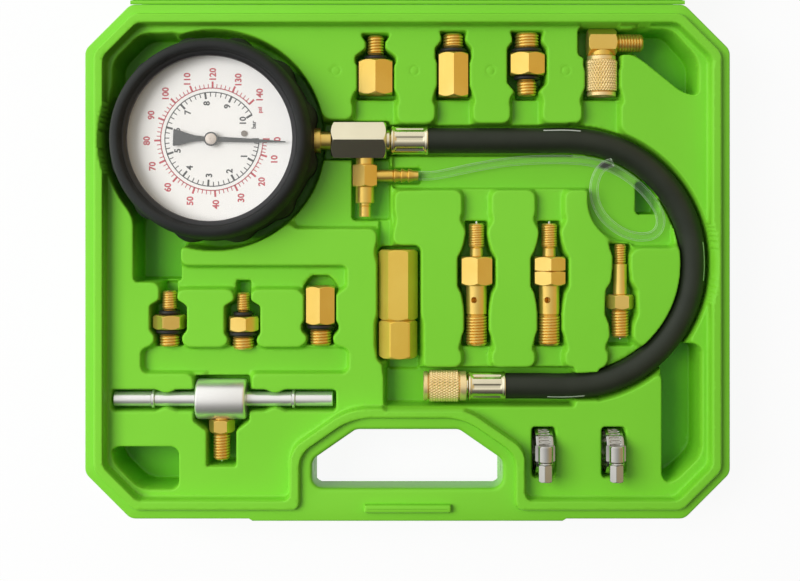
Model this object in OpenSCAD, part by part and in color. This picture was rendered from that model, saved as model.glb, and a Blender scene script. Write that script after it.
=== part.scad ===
// Fuel pressure tester kit: a gauge set with its hose, loose adapters and clamps in a fitted hinged case.
// Millimetres, +Z up. The case lies open: the base is at the origin and its lid lies flat behind it.
// The origin is the centre of the underside of the case base.

/* [Case] */
// Width of each case half over its flange
case_w = 341; // [338:1:360]
// Front to back depth of each case half over its flange
case_d = 272; // [270:1:290]
// Height of each case half up to the parting line
half_h = 38; // [38:0.5:44]
// Leg of the cut corners
corner_cut = 24; // [18:1:26]
// Thickness of the flange round each half
flange_t = 4; // [3:0.5:6]
// How far the body stands in from the flange edge
body_inset = 1.5; // [1:0.1:3]
// Gap between the two flanges when the case is shut
parting_gap = 0.3; // [0.2:0.1:0.6]
// Flange edge to the outside of the sealing lip
lip_inset = 4.5; // [3.5:0.5:5.5]
// Thickness of the sealing lip
lip_t = 5.5; // [4:0.5:6]
// Height of the sealing lip above the flange
lip_h = 3.5; // [2:0.5:5]
// Clearance round the lip inside the lid
lip_clear = 0.6; // [0.4:0.1:1.2]
// Depth of the hollow inside the lid
lid_hollow = 24; // [20:0.5:28]
// Height of the stiffening ribs on the lid floor
lid_rib_h = 2.5; // [1:0.5:4]
// Width of the stiffening ribs on the lid floor
lid_rib_w = 6; // [4:0.5:10]
// Depth of the bare panel sunk in the outside of the lid
lid_panel_depth = 1; // [0.5:0.1:2]
// Radius of the hinge bead
hinge_r = 0.8; // [0.6:0.1:1.2]
// Clearance of the lid round the hinge bead
hinge_clear = 0.3; // [0.2:0.1:0.6]

/* [Handle] */
// Width of the hand hole beside the bar
grip_w = 100.8; // [90:0.1:108]
// Width of the hand hole at its back
grip_back_w = 54.6; // [40:0.1:70]
// Thickness of the bar from front to back
bar_t = 16; // [12:0.5:20]
// Height of the bar in each half
bar_h = 18; // [14:0.5:22]
// Front edge to the shoulders of the hand hole
grip_shoulder = 31; // [28:0.5:34]
// Front edge to the back of the hand hole
grip_back = 47; // [42:0.5:52]
// Corner radius of the hand hole
grip_r = 6; // [2:0.5:8]
// Width of the flange round the hand hole
grip_ledge = 6; // [4:0.5:8]
// How far the handle front stands proud of the case front
bar_bulge = 1.2; // [0.4:0.1:2]
// Width of the bulged stretch of the front
bar_bulge_w = 166; // [140:1:200]
// Rib on the bar that locates the lid: width and depth
bar_rib = [46, 4.3]; // [3:0.1:60]
// Front edge to the middle of the rib
bar_rib_in = 5.9; // [4:0.1:8]

/* [Tray] */
// Depth of the tray deck below the parting line
deck_drop = 5; // [4:0.5:8]
// Depth of the shallow recesses below the deck
recess_drop = 8.5; // [8.2:0.1:9.5]
// Thickness of the case under the deep wells
well_floor = 10; // [6:0.5:14]
// Corner radius of the pockets
pocket_r = 3; // [1:0.5:4]
// Depth of the fitting axes below the deck
axis_drop = 5; // [4:0.5:7]
// Clearance beside a fitting in its pocket
side_clear = 1.2; // [0.6:0.1:2]
// Clearance past the ends of a fitting in its pocket
end_clear = 1; // [0.5:0.1:2]
// Height at which a piece stands over its seat
seat_gap = 0.3; // [0.1:0.1:0.5]
// Deep well beside the gauge: left, front, right, back
gauge_well = [-146, -11, -103, 64]; // [-160:0.5:130]
// Deep well under the drain tube loop: left, front, right, back
loop_well = [114, 20, 129, 40]; // [-160:0.5:160]
// Leg of the cut on the front corner wells
front_well_cut = 15; // [8:0.5:20]
// Front left finger well: left, front, right, back
front_left_well = [-157.5, -121.5, -122, -99]; // [-160:0.5:160]
// Front right finger well: left, front, right, back
front_right_well = [136, -118, 156.5, -44]; // [-160:0.5:160]
// Back left finger well beside the gauge: left, front, right, back
back_left_well = [-157, 80, -122, 121.5]; // [-160:0.5:160]
// Back right finger well: left, front, right, back
back_right_well = [123.5, 89, 155.5, 122]; // [-160:0.5:160]
// Recess for the drain tube: left, front, right, back
tube_recess = [-9, 38, 110, 58]; // [-160:0.5:160]
// Recess for the drain tube loop: left, front, right, back
loop_recess = [94, 8.5, 142, 54]; // [-160:0.5:160]
// Finger recess behind the left adapters: left, front, right, back
left_back_recess = [-123.5, -15, -33, -2]; // [-160:0.5:160]
// Finger recess before the left adapters: left, front, right, back
left_front_recess = [-142.5, -60, -33, -46]; // [-160:0.5:160]
// Length of the finger recesses at the ends of fittings
finger_len = 11; // [6:0.5:14]
// Radius and height of the moulded deck dimples
dimple = [2.4, 0.4]; // [0.2:0.1:4]
// Left to right places of the deck dimples
dimple_x = [-38.2, 3.7, 44.2, 84.4]; // [-60:0.1:100]

/* [Gauge] */
// Left to right place of the gauge
gauge_x = -103; // [-110:0.5:-100]
// Front to back line of the gauge, block and hose
line_y = 64.5; // [60:0.5:66]
// Wall of the boot round the can
boot_wall = 4.2; // [3.5:0.1:6]
// How far the grip lobes stand out of the boot
boot_lobe_out = 5.5; // [3:0.1:6.5]
// Number of grip lobes
boot_lobes = 12; // [8:1:16]
// Radius of a grip lobe
boot_lobe_r = 9; // [6:0.5:12]
// Height of the boot
boot_h = 44.5; // [42:0.5:46]
// Thickness of the boot floor
boot_floor = 2.3; // [1.5:0.1:4]
// Thickness of the boot's front lip
boot_lip = 3.5; // [2:0.1:5]
// How far the boot's front lip covers the bezel
boot_cover = 1.8; // [1:0.1:3]
// Back of the boot to the stem axis
stem_height = 18; // [17:0.5:20]
// Diameter of the steel gauge can
can_d = 93.6; // [90:0.1:96]
// Wall of the gauge can
can_wall = 1.2; // [0.8:0.1:2]
// Thickness of the lens
lens_t = 2; // [1:0.1:3]
// Thickness and face width of the bezel ring
bezel = [2.8, 3.2]; // [1:0.1:5]
// Front of the boot to the dial face
dial_recess = 14; // [12:0.5:16]
// Thickness of the dial plate
dial_t = 0.8; // [0.5:0.1:1.5]
// Pointer length, tail length, tail width and thickness
pointer_size = [39, 20, 9, 0.6]; // [0.3:0.1:42]
// Dial face to the pointer
pointer_lift = 2; // [1:0.1:3]
// Radius of the pointer hub
pointer_hub_r = 3.7; // [2.5:0.1:5]

/* [Gauge movement] */
// Module of the pinion and sector teeth
gear_module = 0.4; // [0.3:0.05:0.5]
// Teeth on the pinion
pinion_teeth = 10; // [8:1:14]
// Turns of the pinion for one turn of the sector
sector_ratio = 8; // [7:1:9]
// Angle that the pointer sweeps
pointer_sweep = 318; // [270:1:330]
// Radius of the pointer shaft
shaft_r = 1; // [0.8:0.1:1.4]
// Radial running clearance of shafts
run_clear = 0.08; // [0.03:0.01:0.1]
// Thickness of the movement plates
plate_t = 1.6; // [1:0.1:2.5]
// Bourdon tube: middle radius, height and thickness
bourdon = [34, 10, 3]; // [2:0.5:38]
// Angle that the Bourdon tube runs round
bourdon_angle = 255; // [220:1:260]

/* [Gauge line] */
// Clearance between pieces that are screwed or pressed together
fit = 0.1; // [0.05:0.05:0.2]
// Gauge stem thread: diameter and length in the block
stem_thread = [9.7, 7]; // [6:0.1:12]
// Gauge stem diameter inside the boot
stem_d = 13.4; // [11:0.1:14]
// Left end of the hexagon block
block_x = -40.7; // [-42:0.1:-40]
// Hexagon block: across flats and length
block = [19, 29.3]; // [15:0.1:34]
// Block end to the bleed valve axis
bleed_in = 17.9; // [14:0.1:20]
// Bleed valve neck: diameter and length
bleed_neck = [9.5, 3.4]; // [2:0.1:12]
// Bleed valve hexagon: across flats and length
bleed_hex = [12.9, 11.8]; // [8:0.1:16]
// Bleed valve stem: diameter and length
bleed_stem = [10, 8.9]; // [6:0.1:12]
// Bleed button: diameter and length out of the stem
bleed_button_size = [6.6, 7.4]; // [4:0.1:9]
// Travel of the bleed button
bleed_travel = 2.5; // [1.5:0.1:3]
// Drain barb: diameter and length from the valve axis
barb = [6.3, 28.6]; // [4:0.1:32]
// Drain tube outside diameter
tube_d = 4.8; // [4:0.1:5]
// Hose outside diameter
hose_d = 13.6; // [12:0.1:14]
// Hose fitting collar: diameter and length
collar = [11.5, 2.5]; // [1:0.1:13]
// Crimped ferrule: diameter and length
ferrule = [14.8, 20.1]; // [14:0.1:24]
// Front to back place of the hose end and its nut
hose_end_y = -67; // [-68:0.5:-66]
// Left end of the swivel nut
nut_x = 8.6; // [7:0.1:10]
// Swivel nut: diameter over the knurl and length
nut = [17, 22.8]; // [14:0.1:26]

/* [Loose fittings] */
// O-ring cross section
ring_cs = 2.4; // [1.8:0.1:2.6]
// Bore through the loose fittings
fitting_bore = 3.2; // [2:0.1:3.6]
// Left to right and back end of top adapter 1
top_1_at = [-17, 120.5]; // [-30:0.5:122]
// Top adapter 1 thread: diameter and length
top_1_thread = [8.9, 10.5]; // [6:0.1:14]
// Top adapter 1 hexagon: across flats and length
top_1_hex = [17.8, 18.5]; // [12:0.1:24]
// Left to right and back end of top adapter 2
top_2_at = [24.5, 121.5]; // [20:0.5:122]
// Top adapter 2 thread: diameter and length
top_2_thread = [10.9, 7.6]; // [6:0.1:14]
// Top adapter 2 hexagon: across flats and length
top_2_hex = [15.6, 23.5]; // [12:0.1:26]
// Left to right and back end of top adapter 3
top_3_at = [64, 122]; // [50:0.5:123]
// Top adapter 3 back thread: diameter and length
top_3_thread = [12.8, 8.2]; // [6:0.1:14]
// Top adapter 3 hexagon: across flats and length
top_3_hex = [18, 12]; // [8:0.1:20]
// Top adapter 3 front thread: diameter and length
top_3_tail = [10.4, 8.2]; // [6:0.1:12]
// Left to right and back end of the elbow
elbow_at = [104, 123.5]; // [98:0.5:124]
// Elbow block, a hexagon bar: length and width across flats
elbow_block = [15.2, 13.5]; // [12:0.1:18]
// Elbow side port: diameter and length past the block
elbow_port = [9, 14.3]; // [6:0.1:16]
// Elbow nut: diameter over the knurl and length
elbow_nut_size = [17, 21.6]; // [14:0.1:24]
// Left to right and back end of left adapter 1
left_1_at = [-127.5, -16]; // [-130:0.5:-14]
// Left adapter 1 back thread: diameter and length
left_1_thread = [7.9, 10.2]; // [5:0.1:12]
// Left adapter 1 hexagon: across flats and length
left_1_hex = [15.7, 7.6]; // [6:0.1:18]
// Left adapter 1 front thread: diameter and length
left_1_tail = [10.6, 6.7]; // [5:0.1:12]
// Left to right and back end of left adapter 2
left_2_at = [-88, -17]; // [-92:0.5:-14]
// Left adapter 2 back thread: diameter and length
left_2_thread = [7, 10]; // [5:0.1:12]
// Left adapter 2 hexagon: across flats and length
left_2_hex = [15, 8]; // [6:0.1:18]
// Left adapter 2 front thread: diameter and length
left_2_tail = [11.4, 7]; // [5:0.1:12]
// Left to right and back end of left adapter 3
left_3_at = [-46.5, -13.5]; // [-50:0.5:-12]
// Left adapter 3 hexagon: across flats and length
left_3_hex = [15.1, 20.3]; // [12:0.1:24]
// Left adapter 3 front thread: diameter and length
left_3_thread = [11.4, 8.7]; // [6:0.1:12]
// Left to right and back end of the long coupling
coupling_at = [-5, 6]; // [-8:0.5:7]
// Long coupling: across flats and length of its body
coupling = [18.2, 37.4]; // [14:0.1:40]
// Length of the coupling nut
coupling_nut_len = 20.4; // [16:0.1:22]
// Left to right place of the first and second valve adapters
valve_x = [37, 76]; // [34:0.5:80]
// Back end of the valve adapters
valve_y = 20; // [18:0.5:21]
// Valve adapter nose thread: diameter and length
valve_nose = [8.5, 13]; // [6:0.1:16]
// Valve adapter neck: diameter and length
valve_neck = [7, 4.7]; // [3:0.1:9]
// Valve adapter hexagon: across flats and length
valve_hex = [16.2, 15.2]; // [12:0.1:18]
// Valve adapter barrel: diameter and length
valve_barrel = [11.1, 15.6]; // [8:0.1:18]
// Valve adapter front thread: diameter and length
valve_tail = [11.4, 16.6]; // [8:0.1:18]
// Diameter of the cross hole in the barrel
valve_cross_d = 2.6; // [1.5:0.1:3]
// Left to right and back end of the slim valve adapter
slim_at = [114, 9]; // [110:0.5:116]
// Slim adapter back thread: diameter and length
slim_thread = [6.4, 10.5]; // [5:0.1:12]
// Slim adapter shank: diameter and length
slim_shank = [7.4, 16.5]; // [6:0.1:18]
// Slim adapter hexagon: across flats and length
slim_hex = [12.8, 7.7]; // [6:0.1:14]
// Slim adapter front thread: diameter and length
slim_tail = [9.2, 15.3]; // [6:0.1:18]
// Valve pin: diameter and length that stands out
pin = [1.6, 1.5]; // [1:0.1:2]
// Travel of the valve pins
pin_travel = 1.2; // [0.8:0.1:1.4]

/* [Quick-connect tee] */
// Left end and front to back place of the tee tube
tee_at = [-157, -74]; // [-158:0.5:-72]
// Tee tube: diameter and length
tee_tube = [7.2, 117]; // [6:0.1:118]
// Tee body: diameter and length
tee_body_size = [21.5, 26.8]; // [18:0.1:30]
// Left end of the tube to the tee body
tee_body_in = 44.1; // [40:0.1:50]
// Ends of the tube to its latch beads
tee_bead_in = 21; // [18:0.1:24]
// Latch beads: diameter and width
tee_bead = [9.4, 2]; // [1:0.1:11]
// Tee port hexagon: across flats and length
tee_hex = [12, 7]; // [6:0.1:14]
// Tee port thread: diameter and length
tee_thread = [9, 14.4]; // [6:0.1:16]

/* [Hose clamps] */
// Left to right places of the two clamps
clamp_x = [72.5, 109.8]; // [60:0.1:120]
// Case front to the middle of the clamps
clamp_in = 34.2; // [33:0.1:36]
// Outside diameter of the band
clamp_d = 24; // [20:0.5:25]
// Width of the band
clamp_w = 9; // [7:0.1:10]
// Thickness of the band
clamp_t = 0.8; // [0.5:0.1:1.2]
// Screw housing: width, length and height
clamp_housing_size = [10.4, 10, 6.4]; // [5:0.1:14]
// Clamp screw: diameter and length
clamp_screw_size = [4.4, 19.2]; // [3:0.1:21]
// Clamp screw head: across flats and length
clamp_head = [6.6, 8]; // [5:0.1:10]

/* [Hidden] */
$fn = 64;

// How far a cutting shape runs past the face that it cuts
over = 1;
// Levels of the case, from the table up
part_z = half_h - parting_gap / 2;
deck_z = half_h - deck_drop;
axis_z = deck_z - axis_drop;
recess_z = deck_z - recess_drop;
// Front of the case and the hinge axis
front_y = -case_d / 2;
hinge_y = case_d / 2 + hinge_r + hinge_clear;
storage_inset = lip_inset + lip_t;
clamp_y = front_y + clamp_in;
grip_slope = atan2(grip_back - grip_shoulder, (grip_w - grip_back_w) / 2);
// Boot over its ring and over its lobes
boot_d = can_d + 2 * boot_wall;
boot_lobe_d = boot_d + 2 * boot_lobe_out;
// Heights in the gauge
boot_z = axis_z - stem_height;
boot_top = boot_z + boot_h;
can_z = boot_z + boot_floor;
bezel_z = boot_top - boot_lip - bezel[0];
lens_z = bezel_z - lens_t;
dial_z = boot_top - dial_recess;
pointer_z = dial_z + pointer_lift;
// Gears: pitch radii, middle distance and the sweep of the sector
pinion_r = pinion_teeth * gear_module / 2;
sector_r = pinion_r * sector_ratio;
sector_teeth = pinion_teeth * sector_ratio;
sector_y = -(pinion_r + sector_r);
sector_sweep = pointer_sweep / sector_ratio;
tooth_depth = 1.25 * gear_module;
// Socket block inside the can: inner end, outer end, width and height
socket_in = 24;
socket_out = 44;
socket_w = 12;
socket_h = 14;
// Movement plates: half width, front and back ends, and the space between them
plate_half = 20;
plate_front = sector_y - 6;
plate_back = 8;
plate_space = 10;
plate_low_z = axis_z - socket_h / 2 - plate_t;
plate_high_z = plate_low_z + plate_t + plate_space;
dial_post = [17, 3];
// The gauge line from left to right
block_end = block_x + block[1];
bleed_x = block_x + bleed_in;
bleed_y = line_y - block[0] / 2;
barb_y = bleed_y - bleed_neck[1] - bleed_hex[1] / 2;
barb_end = bleed_x + barb[1];
ferrule_x = block_end + collar[1];
hose_start = ferrule_x + ferrule[1];
nut_end = nut_x + nut[1];
end_ferrule_x = nut_end + 0.9;
hose_stop = end_ferrule_x + ferrule[1];
tail_d = 6;
bead_d = ferrule[0] + 0.8;
// Middle of the hose bend
bend_x = 87.5;
bend_y = (line_y + hose_end_y) / 2;
bend_r = (line_y - hose_end_y) / 2;
// Neck and length for an O-ring behind a thread
ring_len = ring_cs + 2 * fit;
neck_cut = 1.4;
// Inside of the swivelling nuts: bore, back wall and the neck and flange that they turn on
nut_bore = 13;
nut_wall = 3;
nut_neck = 9;
nut_flange = 12;
nut_flange_t = 2;
pin_hold = 10;
tee_mid = tee_at[0] + tee_body_in + tee_body_size[1] / 2;
tee_port_y = tee_at[1] - tee_body_size[0] / 2;
clamp_top = axis_z + clamp_d / 2;
housing_sink = 1.2;

// Fittings from their back end: size, length and form of each stretch
function ring_neck(thread) = [thread[0] - neck_cut, ring_len, "ring"];
function stretch(size, form) = [size[0], size[1], form];
top_1 = [stretch(top_1_thread, "round"), ring_neck(top_1_thread), stretch(top_1_hex, "hex")];
top_2 = [stretch(top_2_thread, "round"), ring_neck(top_2_thread), stretch(top_2_hex, "hex")];
top_3 = [
  stretch(top_3_thread, "round"), ring_neck(top_3_thread), stretch(top_3_hex, "hex"),
  ring_neck(top_3_tail), stretch(top_3_tail, "round")
];
left_1 = [
  stretch(left_1_thread, "round"), ring_neck(left_1_thread), stretch(left_1_hex, "flat"),
  ring_neck(left_1_tail), stretch(left_1_tail, "round")
];
left_2 = [
  stretch(left_2_thread, "round"), ring_neck(left_2_thread), stretch(left_2_hex, "flat"),
  ring_neck(left_2_tail), stretch(left_2_tail, "round")
];
left_3 = [stretch(left_3_hex, "hex"), ring_neck(left_3_thread), stretch(left_3_thread, "round")];
valve = [
  stretch(valve_nose, "round"), stretch(valve_neck, "round"), stretch(valve_hex, "hex"),
  stretch(valve_barrel, "round"), stretch(valve_tail, "round")
];
slim = [
  stretch(slim_thread, "round"), stretch(slim_shank, "round"), stretch(slim_hex, "flat"),
  stretch(slim_tail, "round")
];
coupling_run = [[coupling[0], coupling[1] + fit + coupling_nut_len, "flat"]];
// Round room in which the coupling nut can turn
coupling_nut_run = [[coupling[0] / cos(30), coupling_nut_len + fit, "round"]];
bleed_run = [stretch(bleed_neck, "round"), stretch(bleed_hex, "hex"), stretch(bleed_stem, "round")];
tee_run = [stretch(tee_hex, "flat"), stretch(tee_thread, "round")];

function run_from(run, i) = i == 0 ? 0 : run_from(run, i - 1) + run[i - 1][1];
function run_len(run) = run_from(run, len(run));
function plan_w(s) = s[2] == "flat" ? s[0] / cos(30) : s[2] == "ring" ? s[0] + 2 * ring_cs : s[0];
function ring_drop(s) = s[0] / 2 + ring_cs + fit;
function drop(s) = s[2] == "hex" ? s[0] / cos(30) / 2 : s[2] == "ring" ? ring_drop(s) : s[0] / 2;
function deepest(run) = max([for (s = run) drop(s)]);
function widest(run) = max([for (s = run) plan_w(s)]);
function thinnest(run) = min([for (s = run) s[0]]);

// Hose route: straight out of the block, round a half turn and back to the swivel nut
hose_route = [
  [hose_start, line_y, axis_z], [26, 64.5, 28], [42, 64.5, 28], [58, 64.5, 28], [73, 64.5, 28],
  [87.5, 64.5, 28], [104.5, 62.3, 28], [120.5, 55.7, 28], [134, 45.2, 28], [144.5, 31.6, 28],
  [151, 15.8, 28], [153, -1.2, 28], [151, -18.2, 28], [144.5, -34, 28], [134, -47.7, 28],
  [120.5, -58.2, 28], [104.5, -64.8, 28], [87.5, -67, 28], [70, -67, 28],
  [hose_stop, hose_end_y, axis_z]
];
// Drain tube route: along the hose, round a loop and over itself to its bare end
tube_route = [
  [barb_end, barb_y, axis_z], [13, 45.7, 28], [20, 46.8, 27.6], [33, 49.6, 27.2], [49, 52.4, 27.2],
  [65, 54, 27.2], [82, 54.4, 27.2], [96.5, 53.4, 27.2], [108.5, 50.2, 27.2], [117.5, 45.4, 27.2],
  [125, 39.5, 27.2], [130.5, 33.5, 27.2], [134.5, 27.5, 27.2], [136, 22, 27.2], [135, 17, 27.2],
  [131.5, 13.8, 27.2], [126.5, 12.8, 27.2], [121, 13.4, 27.2], [115.5, 15.4, 27.2], [110, 19, 27.2],
  [105, 24, 27.4], [101.5, 30, 28.2], [99.8, 36.5, 29.8], [100, 42.5, 31.6], [101.8, 47.5, 32.8],
  [105, 51, 33.2], [109, 52.6, 33.2]
];

function unit(v) = v / norm(v);
function ahead(route, i) = unit(route[min(i + 1, len(route) - 1)] - route[max(i - 1, 0)]);
function sideways(t) = unit(cross(t, [0, 0, 1]));
function ring_points(route, i, r, sides) =
  let (t = ahead(route, i), s = sideways(t), u = cross(s, t))
  [for (k = [0 : sides - 1]) route[i] + r * (cos(360 * k / sides) * s + sin(360 * k / sides) * u)];

// Closed tube of flat facets along a route
module cord(route, d, sides) {
  rings = len(route);
  last = (rings - 1) * sides;
  polyhedron(
    points = [for (i = [0 : rings - 1]) each ring_points(route, i, d / 2, sides)],
    faces = concat(
      [for (i = [0 : rings - 2]) for (k = [0 : sides - 1])
        [i * sides + k, (i + 1) * sides + k, (i + 1) * sides + (k + 1) % sides]],
      [for (i = [0 : rings - 2]) for (k = [0 : sides - 1])
        [i * sides + k, (i + 1) * sides + (k + 1) % sides, i * sides + (k + 1) % sides]],
      [for (k = [1 : sides - 2]) [0, k, k + 1]],
      [for (k = [1 : sides - 2]) [last, last + k + 1, last + k]]
    )
  );
}

// Outline of a case half, drawn in by an inset, with its corners cut
function outline(inset) =
  let (w = case_w / 2 - inset, d = case_d / 2 - inset, c = corner_cut - inset * (2 - sqrt(2)))
  [[c - w, -d], [w - c, -d], [w, c - d], [w, d - c], [w - c, d], [c - w, d], [-w, d - c], [-w, c - d]];

// Six-sided zone round the hand hole, grown by a margin, from a front line back
function grip_zone(grow, from) =
  let (
    side = grip_w / 2 + grow,
    shoulder = front_y + grip_shoulder + grow * tan((90 - grip_slope) / 2),
    back_half = grip_back_w / 2 + grow * tan(grip_slope / 2),
    back = front_y + grip_back + grow
  )
  [[-side, from], [side, from], [side, shoulder], [back_half, back], [-back_half, back], [-side, shoulder]];

module round_rect(b, r) {
  translate([b[0] + r, b[1]])
    square([b[2] - b[0] - 2 * r, b[3] - b[1]]);
  translate([b[0], b[1] + r])
    square([b[2] - b[0], b[3] - b[1] - 2 * r]);
  for (x = [b[0] + r, b[2] - r], y = [b[1] + r, b[3] - r])
    translate([x, y])
      circle(r);
}

// Space inside the lip, or the whole of the lip, round the hand hole
module lip_zone(inset, margin) {
  difference() {
    polygon(outline(inset));
    polygon(grip_zone(margin, front_y - 2 * bar_bulge));
  }
}

module bar_front() {
  translate([-bar_bulge_w / 2, front_y - bar_bulge])
    square([bar_bulge_w, bar_t + bar_bulge]);
}

module hand_hole() {
  hole_front = front_y + bar_t;
  side = grip_w / 2;
  difference() {
    polygon(grip_zone(0, hole_front));
    for (x = [-side, side - grip_r])
      translate([x, hole_front])
        square(grip_r);
  }
  for (x = [grip_r - side, side - grip_r])
    translate([x, hole_front + grip_r])
      circle(grip_r);
}

// Solid of one case half with its handle, before it is hollowed
module case_half() {
  difference() {
    union() {
      linear_extrude(part_z)
        polygon(outline(body_inset));
      translate([0, 0, part_z - flange_t])
        linear_extrude(flange_t)
          polygon(outline(0));
      translate([0, 0, part_z - bar_h])
        linear_extrude(bar_h)
          bar_front();
    }
    translate([0, 0, -over])
      linear_extrude(half_h + 2 * over)
        hand_hole();
    translate([-grip_w / 2, front_y - 2 * bar_bulge, -over])
      cube([grip_w, bar_t + 2 * bar_bulge + over, part_z - bar_h + over]);
  }
}

module bar_rib_block(margin) {
  translate([-bar_rib[0] / 2 - margin, front_y + bar_rib_in - bar_rib[1] / 2 - margin])
    square([bar_rib[0] + 2 * margin, bar_rib[1] + 2 * margin]);
}

// Space above a floor level, cut through the deck
module sunk(floor_z) {
  translate([0, 0, floor_z])
    linear_extrude(half_h + lip_h - floor_z)
      children();
}

// Plan of the pocket for a fitting that lies front to back
module fitting_plan(at, run) {
  for (i = [0 : len(run) - 1]) {
    half = plan_w(run[i]) / 2 + side_clear;
    from = at[1] - run_from(run, i) + end_clear;
    to = at[1] - run_from(run, i + 1) - end_clear;
    round_rect([at[0] - half, to, at[0] + half, from], min(pocket_r, (from - to) / 2 - 0.1, half - 0.1));
  }
}

module fitting_pocket(at, run) {
  sunk(axis_z - deepest(run) - seat_gap)
    fitting_plan(at, run);
}

// Finger recess that runs on from the end of a fitting
module finger(at, run, from, to) {
  half = widest(run) / 2 + side_clear;
  round_rect([at[0] - half, to, at[0] + half, from], pocket_r);
}

module hose_channel() {
  half = bead_d / 2 + side_clear;
  translate([block_end, line_y - half])
    square([bend_x - block_end, 2 * half]);
  translate([nut_x, hose_end_y - half])
    square([bend_x - nut_x, 2 * half]);
  translate([bend_x, bend_y])
    intersection() {
      difference() {
        circle(bend_r + half);
        circle(bend_r - half);
      }
      translate([-over / 2, -case_d])
        square([case_w, 2 * case_d]);
    }
}

module corner_well(b, cut_x, cut) {
  left = cut_x < 0;
  polygon([
    left ? [b[0] + cut, b[1]] : [b[0], b[1]], left ? [b[2], b[1]] : [b[2] - cut, b[1]],
    left ? [b[2], b[3]] : [b[2], b[1] + cut], left ? [b[0], b[3]] : [b[2], b[3]],
    left ? [b[0], b[1] + cut] : [b[0], b[3]]
  ]);
}

module deep_wells() {
  round_rect(gauge_well, pocket_r);
  round_rect(loop_well, pocket_r);
  corner_well(front_left_well, -1, front_well_cut);
  corner_well(front_right_well, 1, front_well_cut);
  a = back_left_well;
  polygon([
    [a[0], a[1]], [a[2], a[1]], [a[2], a[3]], [a[0] + front_well_cut, a[3]], [a[0], a[3] - front_well_cut]
  ]);
  b = back_right_well;
  polygon([
    [b[0], b[3]], [b[2] - front_well_cut, b[3]], [b[2], b[3] - front_well_cut], [b[2], b[1]],
    [b[0], b[3] - front_well_cut]
  ]);
}

module shallow_recesses() {
  hose_back = line_y + bead_d / 2;
  hose_front = hose_end_y + bead_d / 2;
  round_rect(tube_recess, pocket_r);
  round_rect(loop_recess, pocket_r);
  round_rect(left_back_recess, pocket_r);
  round_rect(left_front_recess, pocket_r);
  translate([bleed_x, barb_y - barb[0] / 2 - side_clear])
    square([barb[1], barb[0] + 2 * side_clear]);
  finger(top_1_at, top_1, top_1_at[1] - run_len(top_1), hose_back);
  finger(top_2_at, top_2, top_2_at[1] - run_len(top_2), hose_back);
  finger(top_3_at, top_3, top_3_at[1] - run_len(top_3), hose_back);
  for (x = valve_x) {
    finger([x, valve_y], valve, valve_y + finger_len + pocket_r, valve_y);
    finger([x, valve_y], valve, valve_y - run_len(valve), hose_front);
  }
  finger(slim_at, slim, slim_at[1] - run_len(slim), slim_at[1] - run_len(slim) - finger_len);
}

module elbow_pocket() {
  half = elbow_nut_size[0] / 2 + side_clear;
  block_half = elbow_block[0] / 2 + side_clear;
  back = elbow_at[1] + end_clear;
  mid = elbow_at[1] - elbow_block[1] / 2;
  port_half = elbow_port[0] / 2 + side_clear;
  port_end = elbow_at[0] + elbow_block[0] / 2 + elbow_port[1] + end_clear;
  sunk(axis_z - elbow_nut_size[0] / 2 - seat_gap) {
    round_rect([
      elbow_at[0] - half, elbow_at[1] - elbow_block[1] - elbow_nut_size[1] - 2 * end_clear,
      elbow_at[0] + half, elbow_at[1] - elbow_block[1] + end_clear
    ], pocket_r);
    round_rect([
      elbow_at[0] - block_half, elbow_at[1] - elbow_block[1] - end_clear, elbow_at[0] + block_half, back
    ], pocket_r);
    round_rect([elbow_at[0], mid - port_half, port_end, mid + port_half], pocket_r);
  }
}

module tee_pocket() {
  tube_half = tee_bead[0] / 2 + side_clear;
  body_half = tee_body_size[0] / 2 + side_clear;
  sunk(axis_z - tee_bead[0] / 2 - seat_gap)
    round_rect([
      tee_at[0] - end_clear, tee_at[1] - tube_half,
      tee_at[0] + tee_tube[1] + end_clear, tee_at[1] + tube_half
    ], pocket_r);
  sunk(axis_z - tee_body_size[0] / 2 - seat_gap) {
    round_rect([
      tee_mid - tee_body_size[1] / 2 - end_clear, tee_at[1] - body_half,
      tee_mid + tee_body_size[1] / 2 + end_clear, tee_at[1] + body_half
    ], pocket_r);
    fitting_plan([tee_mid, tee_port_y], concat(tee_run, [[tee_thread[0], pin[1] + end_clear, "round"]]));
  }
}

module line_pockets() {
  block_half = block[0] / 2 + side_clear;
  nut_half = nut[0] / 2 + side_clear;
  sunk(boot_z - seat_gap)
    translate([gauge_x, line_y])
      circle(boot_lobe_d / 2 + 2 * side_clear, $fn = 128);
  sunk(axis_z - block[0] / cos(30) / 2 - seat_gap)
    translate([gauge_x + boot_lobe_d / 2, line_y - block_half])
      square([block_end + collar[1] - gauge_x - boot_lobe_d / 2, 2 * block_half]);
  sunk(axis_z - deepest(bleed_run) - seat_gap)
    fitting_plan([bleed_x, bleed_y + pocket_r],
      concat([[bleed_neck[0], pocket_r, "round"]], bleed_run, [stretch(bleed_button_size, "round")]));
  sunk(axis_z - bead_d / 2 - seat_gap)
    hose_channel();
  sunk(axis_z - nut[0] / 2 - seat_gap)
    round_rect([
      nut_x - 2 * end_clear - pocket_r, hose_end_y - nut_half, nut_end + end_clear, hose_end_y + nut_half
    ], pocket_r);
}

module clamp_slots() {
  half = clamp_housing_size[0] / 2 + side_clear;
  long = clamp_d / 2 + end_clear;
  sunk(axis_z - clamp_d / 2 - seat_gap)
    for (x = clamp_x)
      round_rect([x - half, clamp_y - long, x + half, clamp_y + long], pocket_r);
}

module deck_dimples() {
  y = top_1_at[1] - top_1_hex[1];
  for (x = dimple_x)
    translate([x, y, deck_z - dimple[1]])
      cylinder(r = dimple[0], h = dimple[1] + over);
}

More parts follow.
